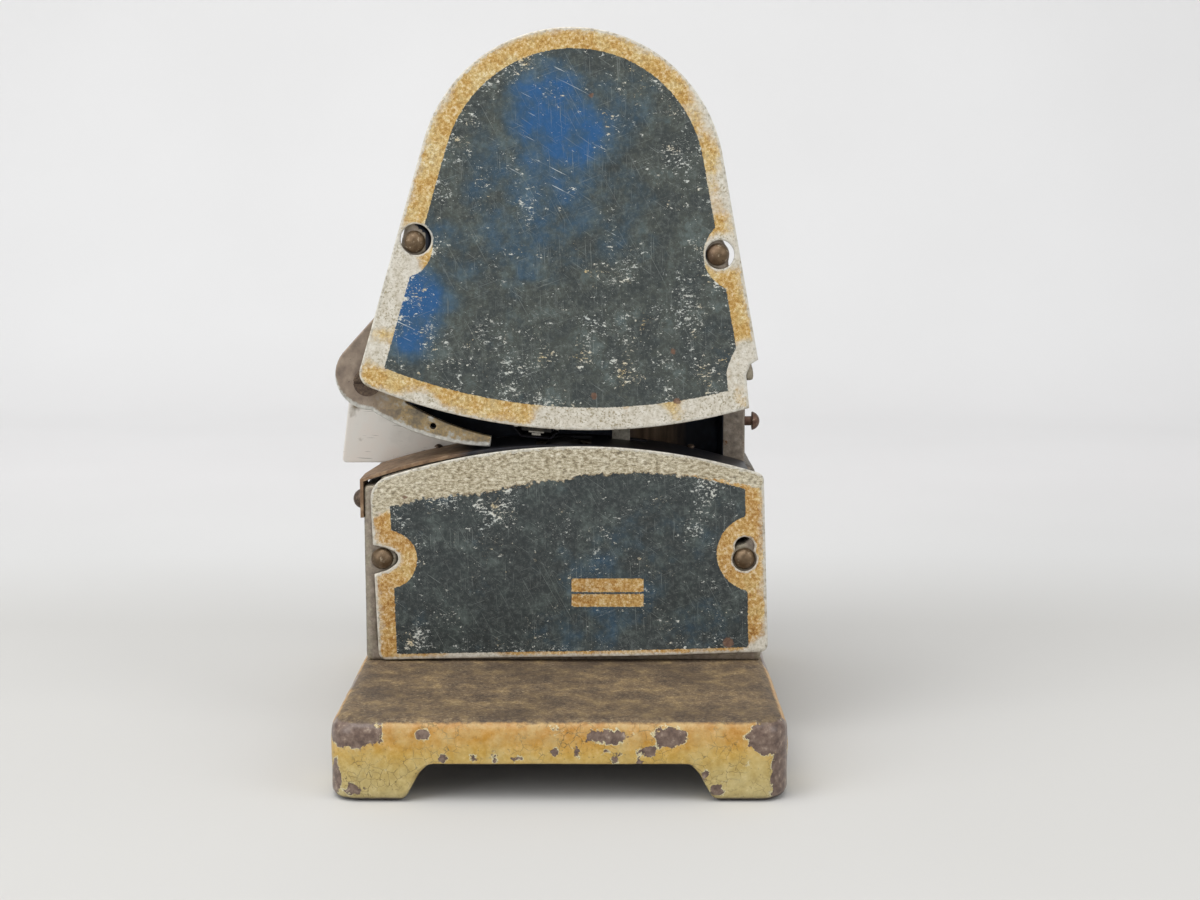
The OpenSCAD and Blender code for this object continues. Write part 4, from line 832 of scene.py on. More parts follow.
def mark_plate(mesh, look, screws, print_edge):
    """Keeps on a plate's corners what its lacquer reads. The field ends a border's width inside print_edge
    and leaves a scallop of gold round each screw."""
    points = points_of(mesh)
    flat = points[:, [0, 2]]
    field = signed_distance(flat, print_edge) - look["border"]
    for (x, z), (right, up, radius) in zip(screw_middles(screws), look["scallops"]):
        field = np.minimum(field, np.hypot(flat[:, 0] - x - right, flat[:, 1] - z - up) - radius)
    store(mesh, "field", field)
    store(mesh, "blue", zone(points, look["blue"]))
    store(mesh, "bare", zone(points, look["bare"]))
    strength, width = look["edge_flecks"]
    along_border = strength * np.clip(1 - field / width, 0, 1)
    store(mesh, "fleck", np.maximum(zone(points, look["flecks"]), along_border))
    store(mesh, "rust", spots_of(flat, look["rust"]))


# The upper plate's border is printed this far off its place, right and up
UPPER_PRINT_SHIFT = (0.6, 0.4)
# Its lower corners have curled forward: how far, from which height down, and from there to full curl down
# and out from the middle
CURL = 0.5
CURL_FROM = 104
CURL_DOWN = 10
CURL_OUT = 55
# A depth in mm that means a mark isn't there at all
NO_MARK = -9.0


def upper_bend(flat):
    """How far the upper plate stands forward: it is flat but for its two lower corners."""
    low = np.clip((CURL_FROM - flat[:, 1]) / CURL_DOWN, 0, 1)
    return CURL * low ** 2 * np.clip(np.abs(flat[:, 0]) / CURL_OUT, 0, 1) ** 2


def make_upper_plate():
    """The upper plate, which hasn't the lower one's rubbed top and gold boxes."""
    mesh, outer = sheet_mesh("upper_cover", PLATE_STEP, PLATE_EDGE, upper_bend)
    mark_plate(mesh, UPPER, "upper_cover_screws", outer + UPPER_PRINT_SHIFT)
    for mark in ("worn_top", "boxes"):
        store(mesh, mark, np.full(len(mesh.vertices), NO_MARK))
    lacquer = lacquered_plate("slate_lacquer_upper", UPPER)
    place_piece("upper_name_plate", mesh, lacquer, "upper_plate", "plate_lacquer", "upper_cover")


# The lower plate's border is this wide along its bottom edge, below the height where its sides begin
LOWER_BOTTOM = 1.7
LOWER_SIDES = 40
# It is rubbed bare down to an arch under its top edge, which is all of its outline over TOP_EDGE: x from the
# middle, and depth below that edge
TOP_EDGE = 70
WORN_X = [-59, -44, -24, 1, 21, 41, 51, 63]
WORN_DEPTH = [9.5, 9.8, 12.0, 9.8, 7.2, 6.0, 5.2, 4.4]
# Its bottom edge bows forward, most at BOW_X, and its top edge leans forward a little
BOW = 1.9
BOW_X = 22
BOW_WIDE = 30
BOW_HIGH = 17
LEAN = 0.25
LEAN_FROM = 84
LEAN_HIGH = 6


def lower_bend(flat):
    """How far the lower plate stands forward of the box."""
    low = np.clip((LOWER_SIDES - flat[:, 1]) / BOW_HIGH, 0, 1)
    high = np.clip((flat[:, 1] - LEAN_FROM) / LEAN_HIGH, 0, 1)
    return BOW * low ** 2 * np.exp(-((flat[:, 0] - BOW_X) / BOW_WIDE) ** 2) + LEAN * high


def make_lower_plate():
    """The lower plate, whose border is narrow below and whose top is rubbed bare."""
    mesh, outer = sheet_mesh("lower_cover", PLATE_STEP, PLATE_EDGE, lower_bend)
    print_edge = outer.copy()
    print_edge[outer[:, 1] < LOWER_SIDES, 1] -= LOWER["border"] - LOWER_BOTTOM
    mark_plate(mesh, LOWER, "lower_cover_screws", print_edge)
    x, _, z = points_of(mesh).T
    top = outer[outer[:, 1] > TOP_EDGE]
    top = top[np.argsort(top[:, 0])]
    below_top = np.interp(x, top[:, 0], top[:, 1]) - z
    store(mesh, "worn_top", np.interp(x, WORN_X, WORN_DEPTH) - below_top)
    boxes = [np.minimum(half_wide - np.abs(x - box_x), half_high - np.abs(z - box_z))
             for box_x, box_z, half_wide, half_high in LOWER["boxes"]]
    store(mesh, "boxes", np.max(boxes, axis=0))
    lacquer = lacquered_plate("slate_lacquer_lower", LOWER)
    place_piece("lower_name_plate", mesh, lacquer, "lower_plate", "plate_lacquer", "lower_cover")


def bare_tin(tree, place):
    """The tinned metal where the gold has gone: silvery, with olive pepper."""
    tin = tone(tree, place, 2.2, [(0.0, "#aea692"), (0.45, "#d2ccbe"), (1.0, "#e9e6dd")], detail=7, rough=0.7)
    pepper = patches(tree, place, 0.6, 0.57, soft=0.05, detail=3, seed=1.0)
    swarms = patches(tree, place, 9, 0.42, soft=0.14, seed=8.0)
    made = finish(tin, rough=0.42, metal=0.15)
    return over(tree, made, finish("#8d8160", rough=0.6), pepper, swarms, 0.8)


def printed_gold(tree, place, ambers):
    """The gold of the border: coarse bright grains over amber like sugar, with brown dots."""
    grains = tone(tree, place, 0.8, [(0.0, "#7d5a26"), (0.3, "#b08a45"), (0.55, "#cfae69"), (0.75, "#e3cf9c"),
        (1.0, "#f6edd0")], detail=3, rough=0.75, seed=2.0, spread=0.16)
    amber = tone(tree, place, 7, list(zip((0.0, 0.4, 0.7, 1.0), ambers)), detail=5, seed=3.0, spread=0.17)
    shade = add(tree, "ShaderNodeMix", {0: 0.4, MIX_A: grains, MIX_B: amber}, data_type="RGBA")
    made = finish(shade.outputs[MIX_RESULT], rough=0.42, metal=0.15, height=0.02)
    dots = patches(tree, place, 0.9, 0.7, soft=0.03, detail=3, seed=12.0)
    return over(tree, made, finish("#6d4c26", rough=0.7), dots, 0.8)


def gold_lost(tree, place):
    """A mask of where the gold has gone: its bare zones, and its rim, where it is handled."""
    rim = add(tree, "ShaderNodeAttribute", attribute_name="rim").outputs["Fac"]
    handled = add(tree, "ShaderNodeMapRange", {"Value": rim, "From Min": 3.5, "From Max": 0.5,
        "To Max": 0.3}).outputs["Result"]
    grit = relief(tree, place, 1.1, 0.5, detail=6, rough=0.75)
    drift = relief(tree, place, 7, 0.75)
    lost = add(tree, "ShaderNodeAttribute", attribute_name="bare").outputs["Fac"]
    for part in (grit, drift, handled):
        lost = add(tree, "ShaderNodeMath", {0: lost, 1: part}).outputs[0]
    return add(tree, "ShaderNodeMapRange", {"Value": lost, "From Min": 0.78,
        "From Max": 1.12}).outputs["Result"]


# Old scratches in the field, as scratches() takes them
FIELD_SCRATCHES = [(62, 26, 0.22, 0.67, 0.0), (-20, 18, 0.2, 0.68, 3.0), (88, 14, 0.18, 0.68, 6.0),
    (35, 9, 0.2, 0.69, 9.0)]


def slate_lacquer(tree, place, slates):
    """The lacquer of the field: slate gone brown and green in clouds, blue where light has spared it."""
    slate = tone(tree, place, 7, list(zip((0.0, 0.35, 0.65, 1.0), slates)), detail=8, rough=0.7, seed=4.0,
        spread=0.16)
    cloud = grain(tree, place, 8, detail=7, rough=0.68)
    cloud = add(tree, "ShaderNodeMapRange", {"Value": cloud, "From Min": 0.3, "From Max": 0.7,
        "To Min": -0.3, "To Max": 0.3}, clamp=False).outputs["Result"]
    blued = add(tree, "ShaderNodeAttribute", attribute_name="blue").outputs["Fac"]
    blued = add(tree, "ShaderNodeMath", {0: blued, 1: cloud}).outputs[0]
    blued = add(tree, "ShaderNodeMapRange", {"Value": blued, "From Min": 0.12,
        "From Max": 0.95}).outputs["Result"]
    blue = add(tree, "ShaderNodeValToRGB", {0: blued}, stops=[(0.0, "#3a5a66"), (0.45, "#245a7c"),
        (1.0, "#0b5288")]).outputs["Color"]
    slate = add(tree, "ShaderNodeMix", {0: blued, MIX_A: slate, MIX_B: blue}, data_type="RGBA")
    faded = tone(tree, place, 1.7, [(0.0, "#1c2224"), (0.5, "#3d4442"), (1.0, "#7f8783")], detail=7,
        rough=0.78, seed=5.0, spread=0.17)
    fading = add(tree, "ShaderNodeMapRange", {"Value": blued, "To Min": 0.42, "To Max": 0.12})
    slate = add(tree, "ShaderNodeMix", {0: fading.outputs["Result"], MIX_A: slate.outputs[MIX_RESULT],
        MIX_B: faded}, data_type="RGBA")
    made = finish(slate.outputs[MIX_RESULT], rough=0.4, height=0.05)
    lines = scratches(tree, place, *FIELD_SCRATCHES)
    return over(tree, made, finish("#949b97", rough=0.5, height=0.03), lines, 0.55)


def lacquer_chips(tree, place):
    """A mask of chips down to the pale ground, in swarms that are longer than high, and of fine dust."""
    dust = patches(tree, place, 0.6, 0.7, soft=0.03, seed=7.0)
    for part in (patches(tree, place, 12, 0.5, soft=0.1, seed=3.3), 0.7):
        dust = add(tree, "ShaderNodeMath", {0: dust, 1: part}, operation="MULTIPLY").outputs[0]
    flecked = add(tree, "ShaderNodeAttribute", attribute_name="fleck").outputs["Fac"]
    lift = add(tree, "ShaderNodeMapRange", {"Value": flecked, "To Max": 0.09}).outputs["Result"]
    swarm = grain(tree, place, 9, detail=3, rough=0.5, seed=6.5)
    swarm = add(tree, "ShaderNodeMapRange", {"Value": swarm, "From Min": 0.35, "From Max": 0.65,
        "To Min": -0.045, "To Max": 0.045}).outputs["Result"]
    drawn = add(tree, "ShaderNodeMapping", {"Vector": place, "Scale": (0.75, 1, 1.25)}).outputs["Vector"]
    made = dust
    for size, above, seed in ((1.5, 0.665, 0.0), (0.8, 0.66, 4.5)):
        level = grain(tree, drawn, size, detail=5, rough=0.72, seed=seed)
        for part in (lift, swarm):
            level = add(tree, "ShaderNodeMath", {0: level, 1: part}).outputs[0]
        chips = add(tree, "ShaderNodeMapRange", {"Value": level, "From Min": above,
            "From Max": above + 0.03}).outputs["Result"]
        made = add(tree, "ShaderNodeMath", {0: made, 1: chips}, operation="MAXIMUM").outputs[0]
    return made


def worn_lacquer(tree, place, slates):
    """The field with its chips, and with hair scratches that show pale in the blue."""
    ground = tone(tree, place, 7, [(0.0, "#b9c0bd"), (0.6, "#d4d5cc"), (1.0, "#cdb887")], detail=2, seed=9.0)
    made = over(tree, slate_lacquer(tree, place, slates), finish(ground, rough=0.55, height=0.01),
        lacquer_chips(tree, place))
    hairs = scratches(tree, place, (27, 15, 0.5, 0.7, 14.0))
    in_blue = inside(tree, place, "blue", 0.45, ragged=0.3, size=3.0)
    return over(tree, made, finish("#c3cbcd", rough=0.5, height=0.01), hairs, in_blue)


def rubbed_top(tree, place):
    """The top of the lower plate, rubbed down to its ground: pale and peppered, in faint level streaks."""
    brushed = add(tree, "ShaderNodeMapping", {"Vector": place, "Scale": (0.6, 1, 1.2)}).outputs["Vector"]
    pepper = tone(tree, brushed, 1.0, [(0.0, "#40372a"), (0.3, "#85795f"), (0.55, "#c3b99e"),
        (0.75, "#e2dbc6"), (1.0, "#f5f1e4")], detail=6, rough=0.85, seed=2.6, spread=0.15)
    dull = tone(tree, place, 9, [(0.0, "#8c7a58"), (0.5, "#b5aa90"), (1.0, "#cfc9b8")], detail=6, seed=7.6,
        spread=0.16)
    shade = add(tree, "ShaderNodeMix", {0: 0.2, MIX_A: pepper, MIX_B: dull}, data_type="RGBA")
    return finish(shade.outputs[MIX_RESULT], rough=0.5, metal=0.05)


def lacquered_plate(name, look):
    """Lacquered brass sheet: a slate field full of specks and a sugary gold border, both rubbed through."""
    material, tree, place = new_material(name)
    gold = printed_gold(tree, place, look["ambers"])
    made = over(tree, gold, bare_tin(tree, place), gold_lost(tree, place))
    rubbed = inside(tree, place, "worn_top", 0.0, ragged=1.7, size=1.6, soft=0.25)
    made = over(tree, made, rubbed_top(tree, place), rubbed)
    on_field = inside(tree, place, "field", 0.0, ragged=0.22, size=0.7, soft=0.07)
    kept = add(tree, "ShaderNodeMath", {0: on_field, 1: rubbed}, operation="SUBTRACT", use_clamp=True)
    made = over(tree, made, worn_lacquer(tree, place, look["slates"]), kept.outputs[0])
    made = over(tree, made, gold, inside(tree, place, "boxes", 0.0, ragged=0.15, size=0.6))

    # Rust spots, as where wet screws have lain
    rust = tone(tree, place, 1.2, [(0.0, "#553a2c"), (1.0, "#84644f")], seed=3.4)
    spots = inside(tree, place, "rust", 0.0, ragged=0.5, size=1.2, soft=0.2)
    made = over(tree, made, finish(rust, rough=0.8), spots, 0.85)

    # Bright metal along the rim and round the holes, and brass behind
    off_rim = inside(tree, place, "rim", 0.75, ragged=0.65, size=1.4, soft=0.12)
    off_hole = inside(tree, place, "hole_rim", 0.55, ragged=0.4, size=1.2, soft=0.12)
    whole = add(tree, "ShaderNodeMath", {0: off_rim, 1: off_hole}, operation="MULTIPLY").outputs[0]
    bright = add(tree, "ShaderNodeMath", {0: 1.0, 1: whole}, operation="SUBTRACT").outputs[0]
    rim_shade = tone(tree, place, 1.2, [(0.0, "#7e7767"), (0.4, "#c4c0b4"), (1.0, "#e2e0d8")], seed=6.6)
    made = over(tree, made, finish(rim_shade, rough=0.38, metal=0.35), bright, 0.8)
    facing = add(tree, "ShaderNodeNewGeometry").outputs["Normal"]
    back = add(tree, "ShaderNodeSeparateXYZ", {0: facing}).outputs["Y"]
    behind = add(tree, "ShaderNodeMapRange", {"Value": back, "From Min": 0.3, "From Max": 0.6})
    made = over(tree, made, finish("#8a7d5c", rough=0.5, metal=0.5), behind.outputs["Result"])
    close_material(tree, made, relief(tree, place, 2.5, 0.02, detail=5))
    return material


# The head and the lower box

HEAD_CENTRE_Z = 150
# The bosses that hold the upper cover screws stand out of the head's sides a little: radius, and length
# past the screws' ends
COVER_BOSS_R = 3.7
BOSS_END = 2.0
# The head gets painted shade where its walls face inward by more than INWARD. Behind its front wall and up
# to the side distance below from the middle, it also gets it where they face outward by less than OUTWARD
INWARD = 0.25
OUTWARD = 0.4
SHADED_SIDE = 50.2
# The painted shade begins this far behind the front and inside the walls
SHADE_GAP = 1
# A corner faces a way, such as the front, if its normal has this much of it
FACING = 0.6


def convexity(mesh):
    """How far each corner stands out from its neighbours in mm: high on outer edges, below 0 in hollows."""
    points, normals = points_of(mesh), normals_of(mesh)
    ends = np.empty(len(mesh.edges) * 2, np.int32)
    mesh.edges.foreach_get("vertices", ends)
    here, there = ends.reshape(-1, 2).T
    count = np.bincount(np.concatenate([here, there]), minlength=len(points))
    made = np.bincount(here, ((points[here] - points[there]) * normals[here]).sum(1), len(points))
    made += np.bincount(there, ((points[there] - points[here]) * normals[there]).sum(1), len(points))
    made /= np.maximum(count, 1)
    for _ in range(3):
        around = np.bincount(here, made[there], len(points)) + np.bincount(there, made[here], len(points))
        made = 0.5 * made + 0.5 * around / np.maximum(count, 1)
    return made


def place_casting(name, mesh, shaded_inside, paint, node):
    """Keeps on a casting's corners what its paint reads, and places it."""
    # Where the casting gets painted shade inside
    store(mesh, "shaded_inside", shaded_inside)
    store(mesh, "wear", convexity(mesh))
    store(mesh, "front", normals_of(mesh)[:, 1] < -FACING)
    place_piece(name, mesh, paint, "root", "housing_paint", node)


def make_head():
    """The arched head, with the bosses of the upper cover screws."""
    low, high = (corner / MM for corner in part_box("upper_cover_screws"))
    front, back = low.y + HEAD_H, high.y + BOSS_END
    middles = screw_middles("upper_cover_screws")
    mesh = casting_mesh("upper_frame", [(x, z, COVER_BOSS_R, front, back) for x, z in middles])
    points, normals = points_of(mesh), normals_of(mesh)
    out = np.column_stack([points[:, 0], np.maximum(points[:, 2] - HEAD_CENTRE_Z, 0)])
    out /= np.maximum(np.linalg.norm(out, axis=1), 0.1)[:, None]
    outward = (out * normals[:, [0, 2]]).sum(1)
    behind = points[:, 1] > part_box("upper_frame")[0].y / MM + SHADE_GAP
    between = np.abs(points[:, 0]) < SHADED_SIDE
    # Painted shade on the head's inner walls
    shaded_inside = (outward < -INWARD) | (behind & between & (outward < OUTWARD))
    place_casting("arched_head", mesh, shaded_inside, casting_paint("head_paint", True), "upper_frame")


def make_lower_box():
    """The lower box, with painted shade on its inner walls and under its top."""
    mesh = casting_mesh("lower_housing")
    points, normals = points_of(mesh), normals_of(mesh)
    low, high = (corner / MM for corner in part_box("lower_housing"))
    # Painted shade on the box's inner walls and under its top
    shaded_inside = np.abs(points[:, 0]) < high.x - machine_x - SHADE_GAP
    shaded_inside &= (points[:, 2] > low.z + SHADE_GAP) & (points[:, 2] < high.z - SHADE_GAP)
    shaded_inside &= (np.abs(normals[:, 1]) < FACING) & (normals[:, 2] < FACING)
    place_casting("lower_box", mesh, shaded_inside, casting_paint("box_paint", False), "lower_housing")


# Painted light inside the head right of the middle, where its brown back wall shows lit among the painted
# shade: the middle of the lit patch, its half width where it is full and where it ends
LIT_PATCH_X = 29
LIT_PATCH_FULL = 5
LIT_PATCH_END = 11


def painted_inside_shade(tree, place, with_lit_patch):
    """Painted shade for the inside of a casting, blue-black, and where asked a patch of painted light right
    of the middle, where the brown back wall shows lit, in upright streaks.
    """
    # Painted shade: blue-black for the inside, which lies in shade
    inside_shade = tone(tree, place, 6, [(0.0, "#151922"), (0.6, "#242a38"), (1.0, "#323a4a")], detail=5, seed=7.0)
    made = finish(inside_shade, rough=0.6)
    if not with_lit_patch:
        return made
    # Painted light: a lit patch of the brown back wall, in upright streaks
    across = add(tree, "ShaderNodeSeparateXYZ", {0: place}).outputs["X"]
    sides = [add(tree, "ShaderNodeMapRange", {"Value": across,
        "From Min": (machine_x + LIT_PATCH_X + side * LIT_PATCH_END) * MM,
        "From Max": (machine_x + LIT_PATCH_X + side * LIT_PATCH_FULL) * MM}).outputs["Result"] for side in (-1, 1)]
    drawn = add(tree, "ShaderNodeMapping", {"Vector": place, "Scale": (1, 1, 0.15)}).outputs["Vector"]
    oil = tone(tree, drawn, 2.5, [(0.0, "#5a4432"), (0.5, "#8f745a"), (1.0, "#b5977a")], detail=6, seed=8.0)
    return over(tree, made, finish(oil, rough=0.5), *sides)


def casting_paint(name, with_lit_patch):
    """Old oil paint on cast iron: grainy and dull, brown in front and metal at its edges, with painted shade
    inside in blue-black.
    """
    material, tree, place = new_material(name)
    grey = tone(tree, place, 0.8, [(0.0, "#3c3832"), (0.4, "#625c53"), (0.7, "#847c70"), (1.0, "#b3ab9b")],
        detail=5, rough=0.75, seed=1.0, spread=0.17)
    cloud = tone(tree, place, 14, [(0.0, "#544f49"), (0.6, "#6b655c"), (1.0, "#7c7263")], detail=5, seed=2.0)
    shade = add(tree, "ShaderNodeMix", {0: 0.45, MIX_A: grey, MIX_B: cloud}, data_type="RGBA")
    made = finish(shade.outputs[MIX_RESULT], rough=0.62)
    brown = tone(tree, place, 2.2, [(0.0, "#62594f"), (0.5, "#897d70"), (1.0, "#ada294")], detail=7,
        rough=0.7, seed=3.0)
    in_front = inside(tree, place, "front", 0.5, ragged=0.3, size=1.5)
    made = over(tree, made, finish(brown, rough=0.55, metal=0.1), in_front)
    rust = tone(tree, place, 1.4, [(0.0, "#4a2f1f"), (0.6, "#6e4a2c"), (1.0, "#85602f")], detail=5, seed=4.0)
    rusty = patches(tree, place, 4, 0.66, soft=0.03, detail=6, seed=5.0)
    made = over(tree, made, finish(rust, rough=0.8), rusty)
    bright = tone(tree, place, 1.0, [(0.0, "#7c7362"), (1.0, "#aaa391")], detail=5, seed=6.0)
    on_edges = inside(tree, place, "wear", 0.12, ragged=0.1, size=2.0, soft=0.04)
    made = over(tree, made, finish(bright, rough=0.4, metal=0.6), on_edges)
    # Painted shade inside, blue-black, with painted light on the head's back wall
    made = over(tree, made, painted_inside_shade(tree, place, with_lit_patch), inside(tree, place, "shaded_inside", 0.5))
    close_material(tree, made, relief(tree, place, 1.6, 0.16, detail=6, rough=0.7))
    return material


# Round-headed screws: one turned screw, repeated by Geometry Nodes

STUD_SIDES = 40
DOME_RINGS = 12
SOFT_RIM = 0.1


def turned_mesh(outline):
    """A solid turned round the Z axis from an outline of radius and height in mm."""
    made = bmesh.new()
    rings = []
    for radius, height in outline:
        turns = [2 * math.pi * i / STUD_SIDES for i in range(STUD_SIDES)] if radius else [0]
        rings.append([made.verts.new((radius * MM * math.cos(a), radius * MM * math.sin(a), height * MM))
                      for a in turns])
    for here, there in zip(rings, rings[1:]):
        for i in range(STUD_SIDES):
            around = ((here, i), (here, i + 1), (there, i + 1), (there, i))
            corners = [ring[j % len(ring)] for ring, j in around]
            made.faces.new(list(dict.fromkeys(corners)))
    bmesh.ops.recalc_face_normals(made, faces=made.faces)
    return meshed(made, "turned")


def stud_outline(head_r, head_h, shank_r, shank_l):
    """Half the outline of a stud: a domed head with a soft rim, then the shank."""
    ball = (head_r ** 2 + head_h ** 2) / (2 * head_h)
    reach = math.asin(head_r / ball)
    dome = [(ball * math.sin(a), head_h - ball * (1 - math.cos(a)))
            for a in np.linspace(0, 0.97 * reach, DOME_RINGS)]
    rim = [(head_r - 0.2 * SOFT_RIM, SOFT_RIM), (head_r - 1.2 * SOFT_RIM, 0)]
    return dome + rim + [(shank_r, 0), (shank_r, -shank_l), (0, -shank_l)]


def repeat_tree():
    """Geometry Nodes that put one object on every corner of a mesh, turned to the corner's facing."""
    tree = bpy.data.node_groups.new("repeat_on_corners", "GeometryNodeTree")
    for name, kind in (("Corners", "Geometry"), ("Piece", "Object"), ("Finish", "Material")):
        tree.interface.new_socket(name, in_out="INPUT", socket_type="NodeSocket" + kind)
    tree.interface.new_socket("Geometry", in_out="OUTPUT", socket_type="NodeSocketGeometry")
    given = add(tree, "NodeGroupInput").outputs
    piece = add(tree, "GeometryNodeObjectInfo", {"Object": given["Piece"]}).outputs["Geometry"]
    facing = add(tree, "GeometryNodeInputNamedAttribute", {"Name": "facing"}, data_type="FLOAT_VECTOR")
    turn = add(tree, "FunctionNodeAlignRotationToVector", {"Vector": facing.outputs["Attribute"]}, axis="Z")
    put = add(tree, "GeometryNodeInstanceOnPoints", {"Points": given["Corners"], "Instance": piece,
        "Rotation": turn.outputs["Rotation"]})
    real = add(tree, "GeometryNodeRealizeInstances", {"Geometry": put.outputs["Instances"]})
    made = add(tree, "GeometryNodeSetMaterial", {"Geometry": real.outputs["Geometry"],
        "Material": given["Finish"]})
    add(tree, "NodeGroupOutput", {"Geometry": made.outputs["Geometry"]})
    return tree


def repeated(tree, piece_mesh, places, facing, material):
    """A mesh of one piece at several places, in mm from the machine's middle, facing one way."""
    corners = bpy.data.meshes.new("corners")
    corners.from_pydata([((x + machine_x) * MM, y * MM, z * MM) for x, y, z in places], [], [])
    corners.attributes.new("facing", "FLOAT_VECTOR", "POINT").data.foreach_set("vector", facing * len(places))
    piece = bpy.data.objects.new("piece", piece_mesh)
    carrier = bpy.data.objects.new("carrier", corners)
    for helper in (piece, carrier):
        bpy.context.scene.collection.objects.link(helper)
    modifier = carrier.modifiers.new("repeat", "NODES")
    modifier.node_group = tree
    given = {"Piece": piece, "Finish": material}
    for item in tree.interface.items_tree:
        if item.in_out == "INPUT" and item.name in given:
            modifier[item.identifier] = given[item.name]
    graph = bpy.context.evaluated_depsgraph_get()
    made = bpy.data.meshes.new_from_object(carrier.evaluated_get(graph))
    carrier.modifiers.remove(modifier)
    for helper in (piece, carrier):
        bpy.data.objects.remove(helper)
    made.shade_smooth()
    made.set_sharp_from_angle(angle=SHARP)
    return made


# The side screw's head, and the radius of each kind's shank
SIDE_HEAD_R = 3.0
SIDE_HEAD_H = 2.5
SHANK_R = 2.0
SIDE_SHANK_R = 1.5
# A screw's head is worn down by up to twice this much, in hollows of this size
STUD_WEAR = 0.05
STUD_HOLLOW = 2.5


def make_studs():
    """The round-headed screws of both plates, worn uneven, and the one in the side."""
    tree = repeat_tree()
    material = screw_steel()
    kinds = [("upper_screws", "upper_cover_screws"), ("lower_screws", "lower_cover_screws")]
    for seed, (name, node) in enumerate(kinds):
        low, high = (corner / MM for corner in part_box(node))
        foot = low.y + HEAD_H
        one = turned_mesh(stud_outline(HEAD_R, HEAD_H, SHANK_R, high.y - foot))
        places = [(x, foot, z) for x, z in screw_middles(node)]
        mesh = repeated(tree, one, places, [0.0, -1.0, 0.0], material)
        points = points_of(mesh)
        wear = STUD_WEAR * (1 + waves(points, STUD_HOLLOW, seed))
        set_points(mesh, points - normals_of(mesh) * wear[:, None])
        place_piece(name, mesh, material, "root", "dull_screws", node)
    low, high = (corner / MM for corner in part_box("side_screw"))
    foot = high.x - SIDE_HEAD_H
    one = turned_mesh(stud_outline(SIDE_HEAD_R, SIDE_HEAD_H, SIDE_SHANK_R, foot - low.x))
    place = [(foot - machine_x, (low.y + high.y) / 2, (low.z + high.z) / 2)]
    mesh = repeated(tree, one, place, [1.0, 0.0, 0.0], material)
    set_points(mesh, kept_in(points_of(mesh), "side_screw"))
    place_piece("side_stud", mesh, material, "root", "dull_screws", "side_screw")


def screw_steel():
    """Oxidised steel of the round heads: brown, with small rubbed highlights and dark pits, no two alike."""
    material, tree, place = new_material("brown_screw_steel")
    brown = tone(tree, place, 2.0, [(0.0, "#3d2c24"), (0.45, "#5c463a"), (0.75, "#745d4b"), (1.0, "#8c7762")],
        detail=6, rough=0.65, seed=1.0)
    olive = tone(tree, place, 60, [(0.35, "#6a5c3c"), (0.6, "#5e4238")], detail=1, seed=4.0)
    shade = add(tree, "ShaderNodeMix", {0: 0.4, MIX_A: brown, MIX_B: olive}, data_type="RGBA")
    made = finish(shade.outputs[MIX_RESULT], rough=0.38, metal=0.55)
    rubbed = patches(tree, place, 1.6, 0.66, seed=2.0)
    made = over(tree, made, finish("#b4a690", rough=0.3, metal=0.9), rubbed)
    pits = patches(tree, place, 0.7, 0.7, soft=0.04, seed=3.0)
    made = over(tree, made, finish("#241a16", rough=0.8), pits)
    close_material(tree, made, relief(tree, place, 0.8, 0.12, detail=5))
    return material


# The finger, the fence and the rear covers

FINGER_STEP = 0.7
FINGER_EDGE = 0.35
# The finger's mottling starts at TOE_X and is at its full TOE_LONG further right
TOE_X = -60
TOE_LONG = 12
# Its lower edge is rubbed bright, with a painted highlight along it, to this height
BRIGHT_EDGE_HIGH = 1.3


def make_finger():
    """The sickle-shaped finger that a ticket lifts."""
    mesh, outer = sheet_mesh("entry_finger", FINGER_STEP, FINGER_EDGE)
    flat = points_of(mesh)[:, [0, 2]]
    store(mesh, "toe", np.clip((flat[:, 0] - TOE_X) / TOE_LONG, 0, 1))
    store(mesh, "under", -signed_distance(flat - (0, BRIGHT_EDGE_HIGH), outer))
    place_piece("sickle_finger", mesh, sickle_steel(), "finger", "worn_steel", "entry_finger")


def sickle_steel():
    """Browned sheet steel, mottled gold and grey along the toe, with its lower edge rubbed bright and a
    painted highlight along it.
    """
    material, tree, place = new_material("sickle_steel")
    lobe = tone(tree, place, 3.0, [(0.0, "#75685e"), (0.5, "#8f8072"), (1.0, "#a39484")], detail=6, seed=1.0)
    mottle = tone(tree, place, 4.2, [(0.0, "#5d564d"), (0.35, "#857862"), (0.55, "#a08a62"),
        (0.75, "#a5a298"), (1.0, "#c9c7bf")], detail=7, rough=0.7, seed=2.0, spread=0.2)
    along = add(tree, "ShaderNodeAttribute", attribute_name="toe").outputs["Fac"]
    shade = add(tree, "ShaderNodeMix", {0: along, MIX_A: lobe, MIX_B: mottle}, data_type="RGBA")
    made = finish(shade.outputs[MIX_RESULT], rough=0.42, metal=0.55)
    pits = patches(tree, place, 1.1, 0.68, soft=0.03, seed=3.0)
    made = over(tree, made, finish("#3a312b", rough=0.7, metal=0.2), pits)
    # The lower edge: rubbed bright by tickets, with a painted highlight along it
    pale = tone(tree, place, 1.5, [(0.0, "#9b9890"), (1.0, "#d8d7d0")], seed=4.0)
    rubbed = inside(tree, place, "under", 0.0, ragged=0.45, size=1.4, soft=0.25)
    made = over(tree, made, finish(pale, rough=0.35, metal=0.5), rubbed)
    close_material(tree, made, relief(tree, place, 1.2, 0.06, detail=6))
    return material


FENCE_STEP = 1.0
FENCE_EDGE = 0.25
# The fence's stains begin at this height and are at their thickest this much higher
STAIN_LOW = 90
STAIN_HIGH = 103


def make_fence():
    """The bare fence behind the finger."""
    mesh, _ = sheet_mesh("ticket_fence", FENCE_STEP, FENCE_EDGE)
    place_piece("bare_fence", mesh, fence_tin(), "root", "bare_sheet", "ticket_fence")


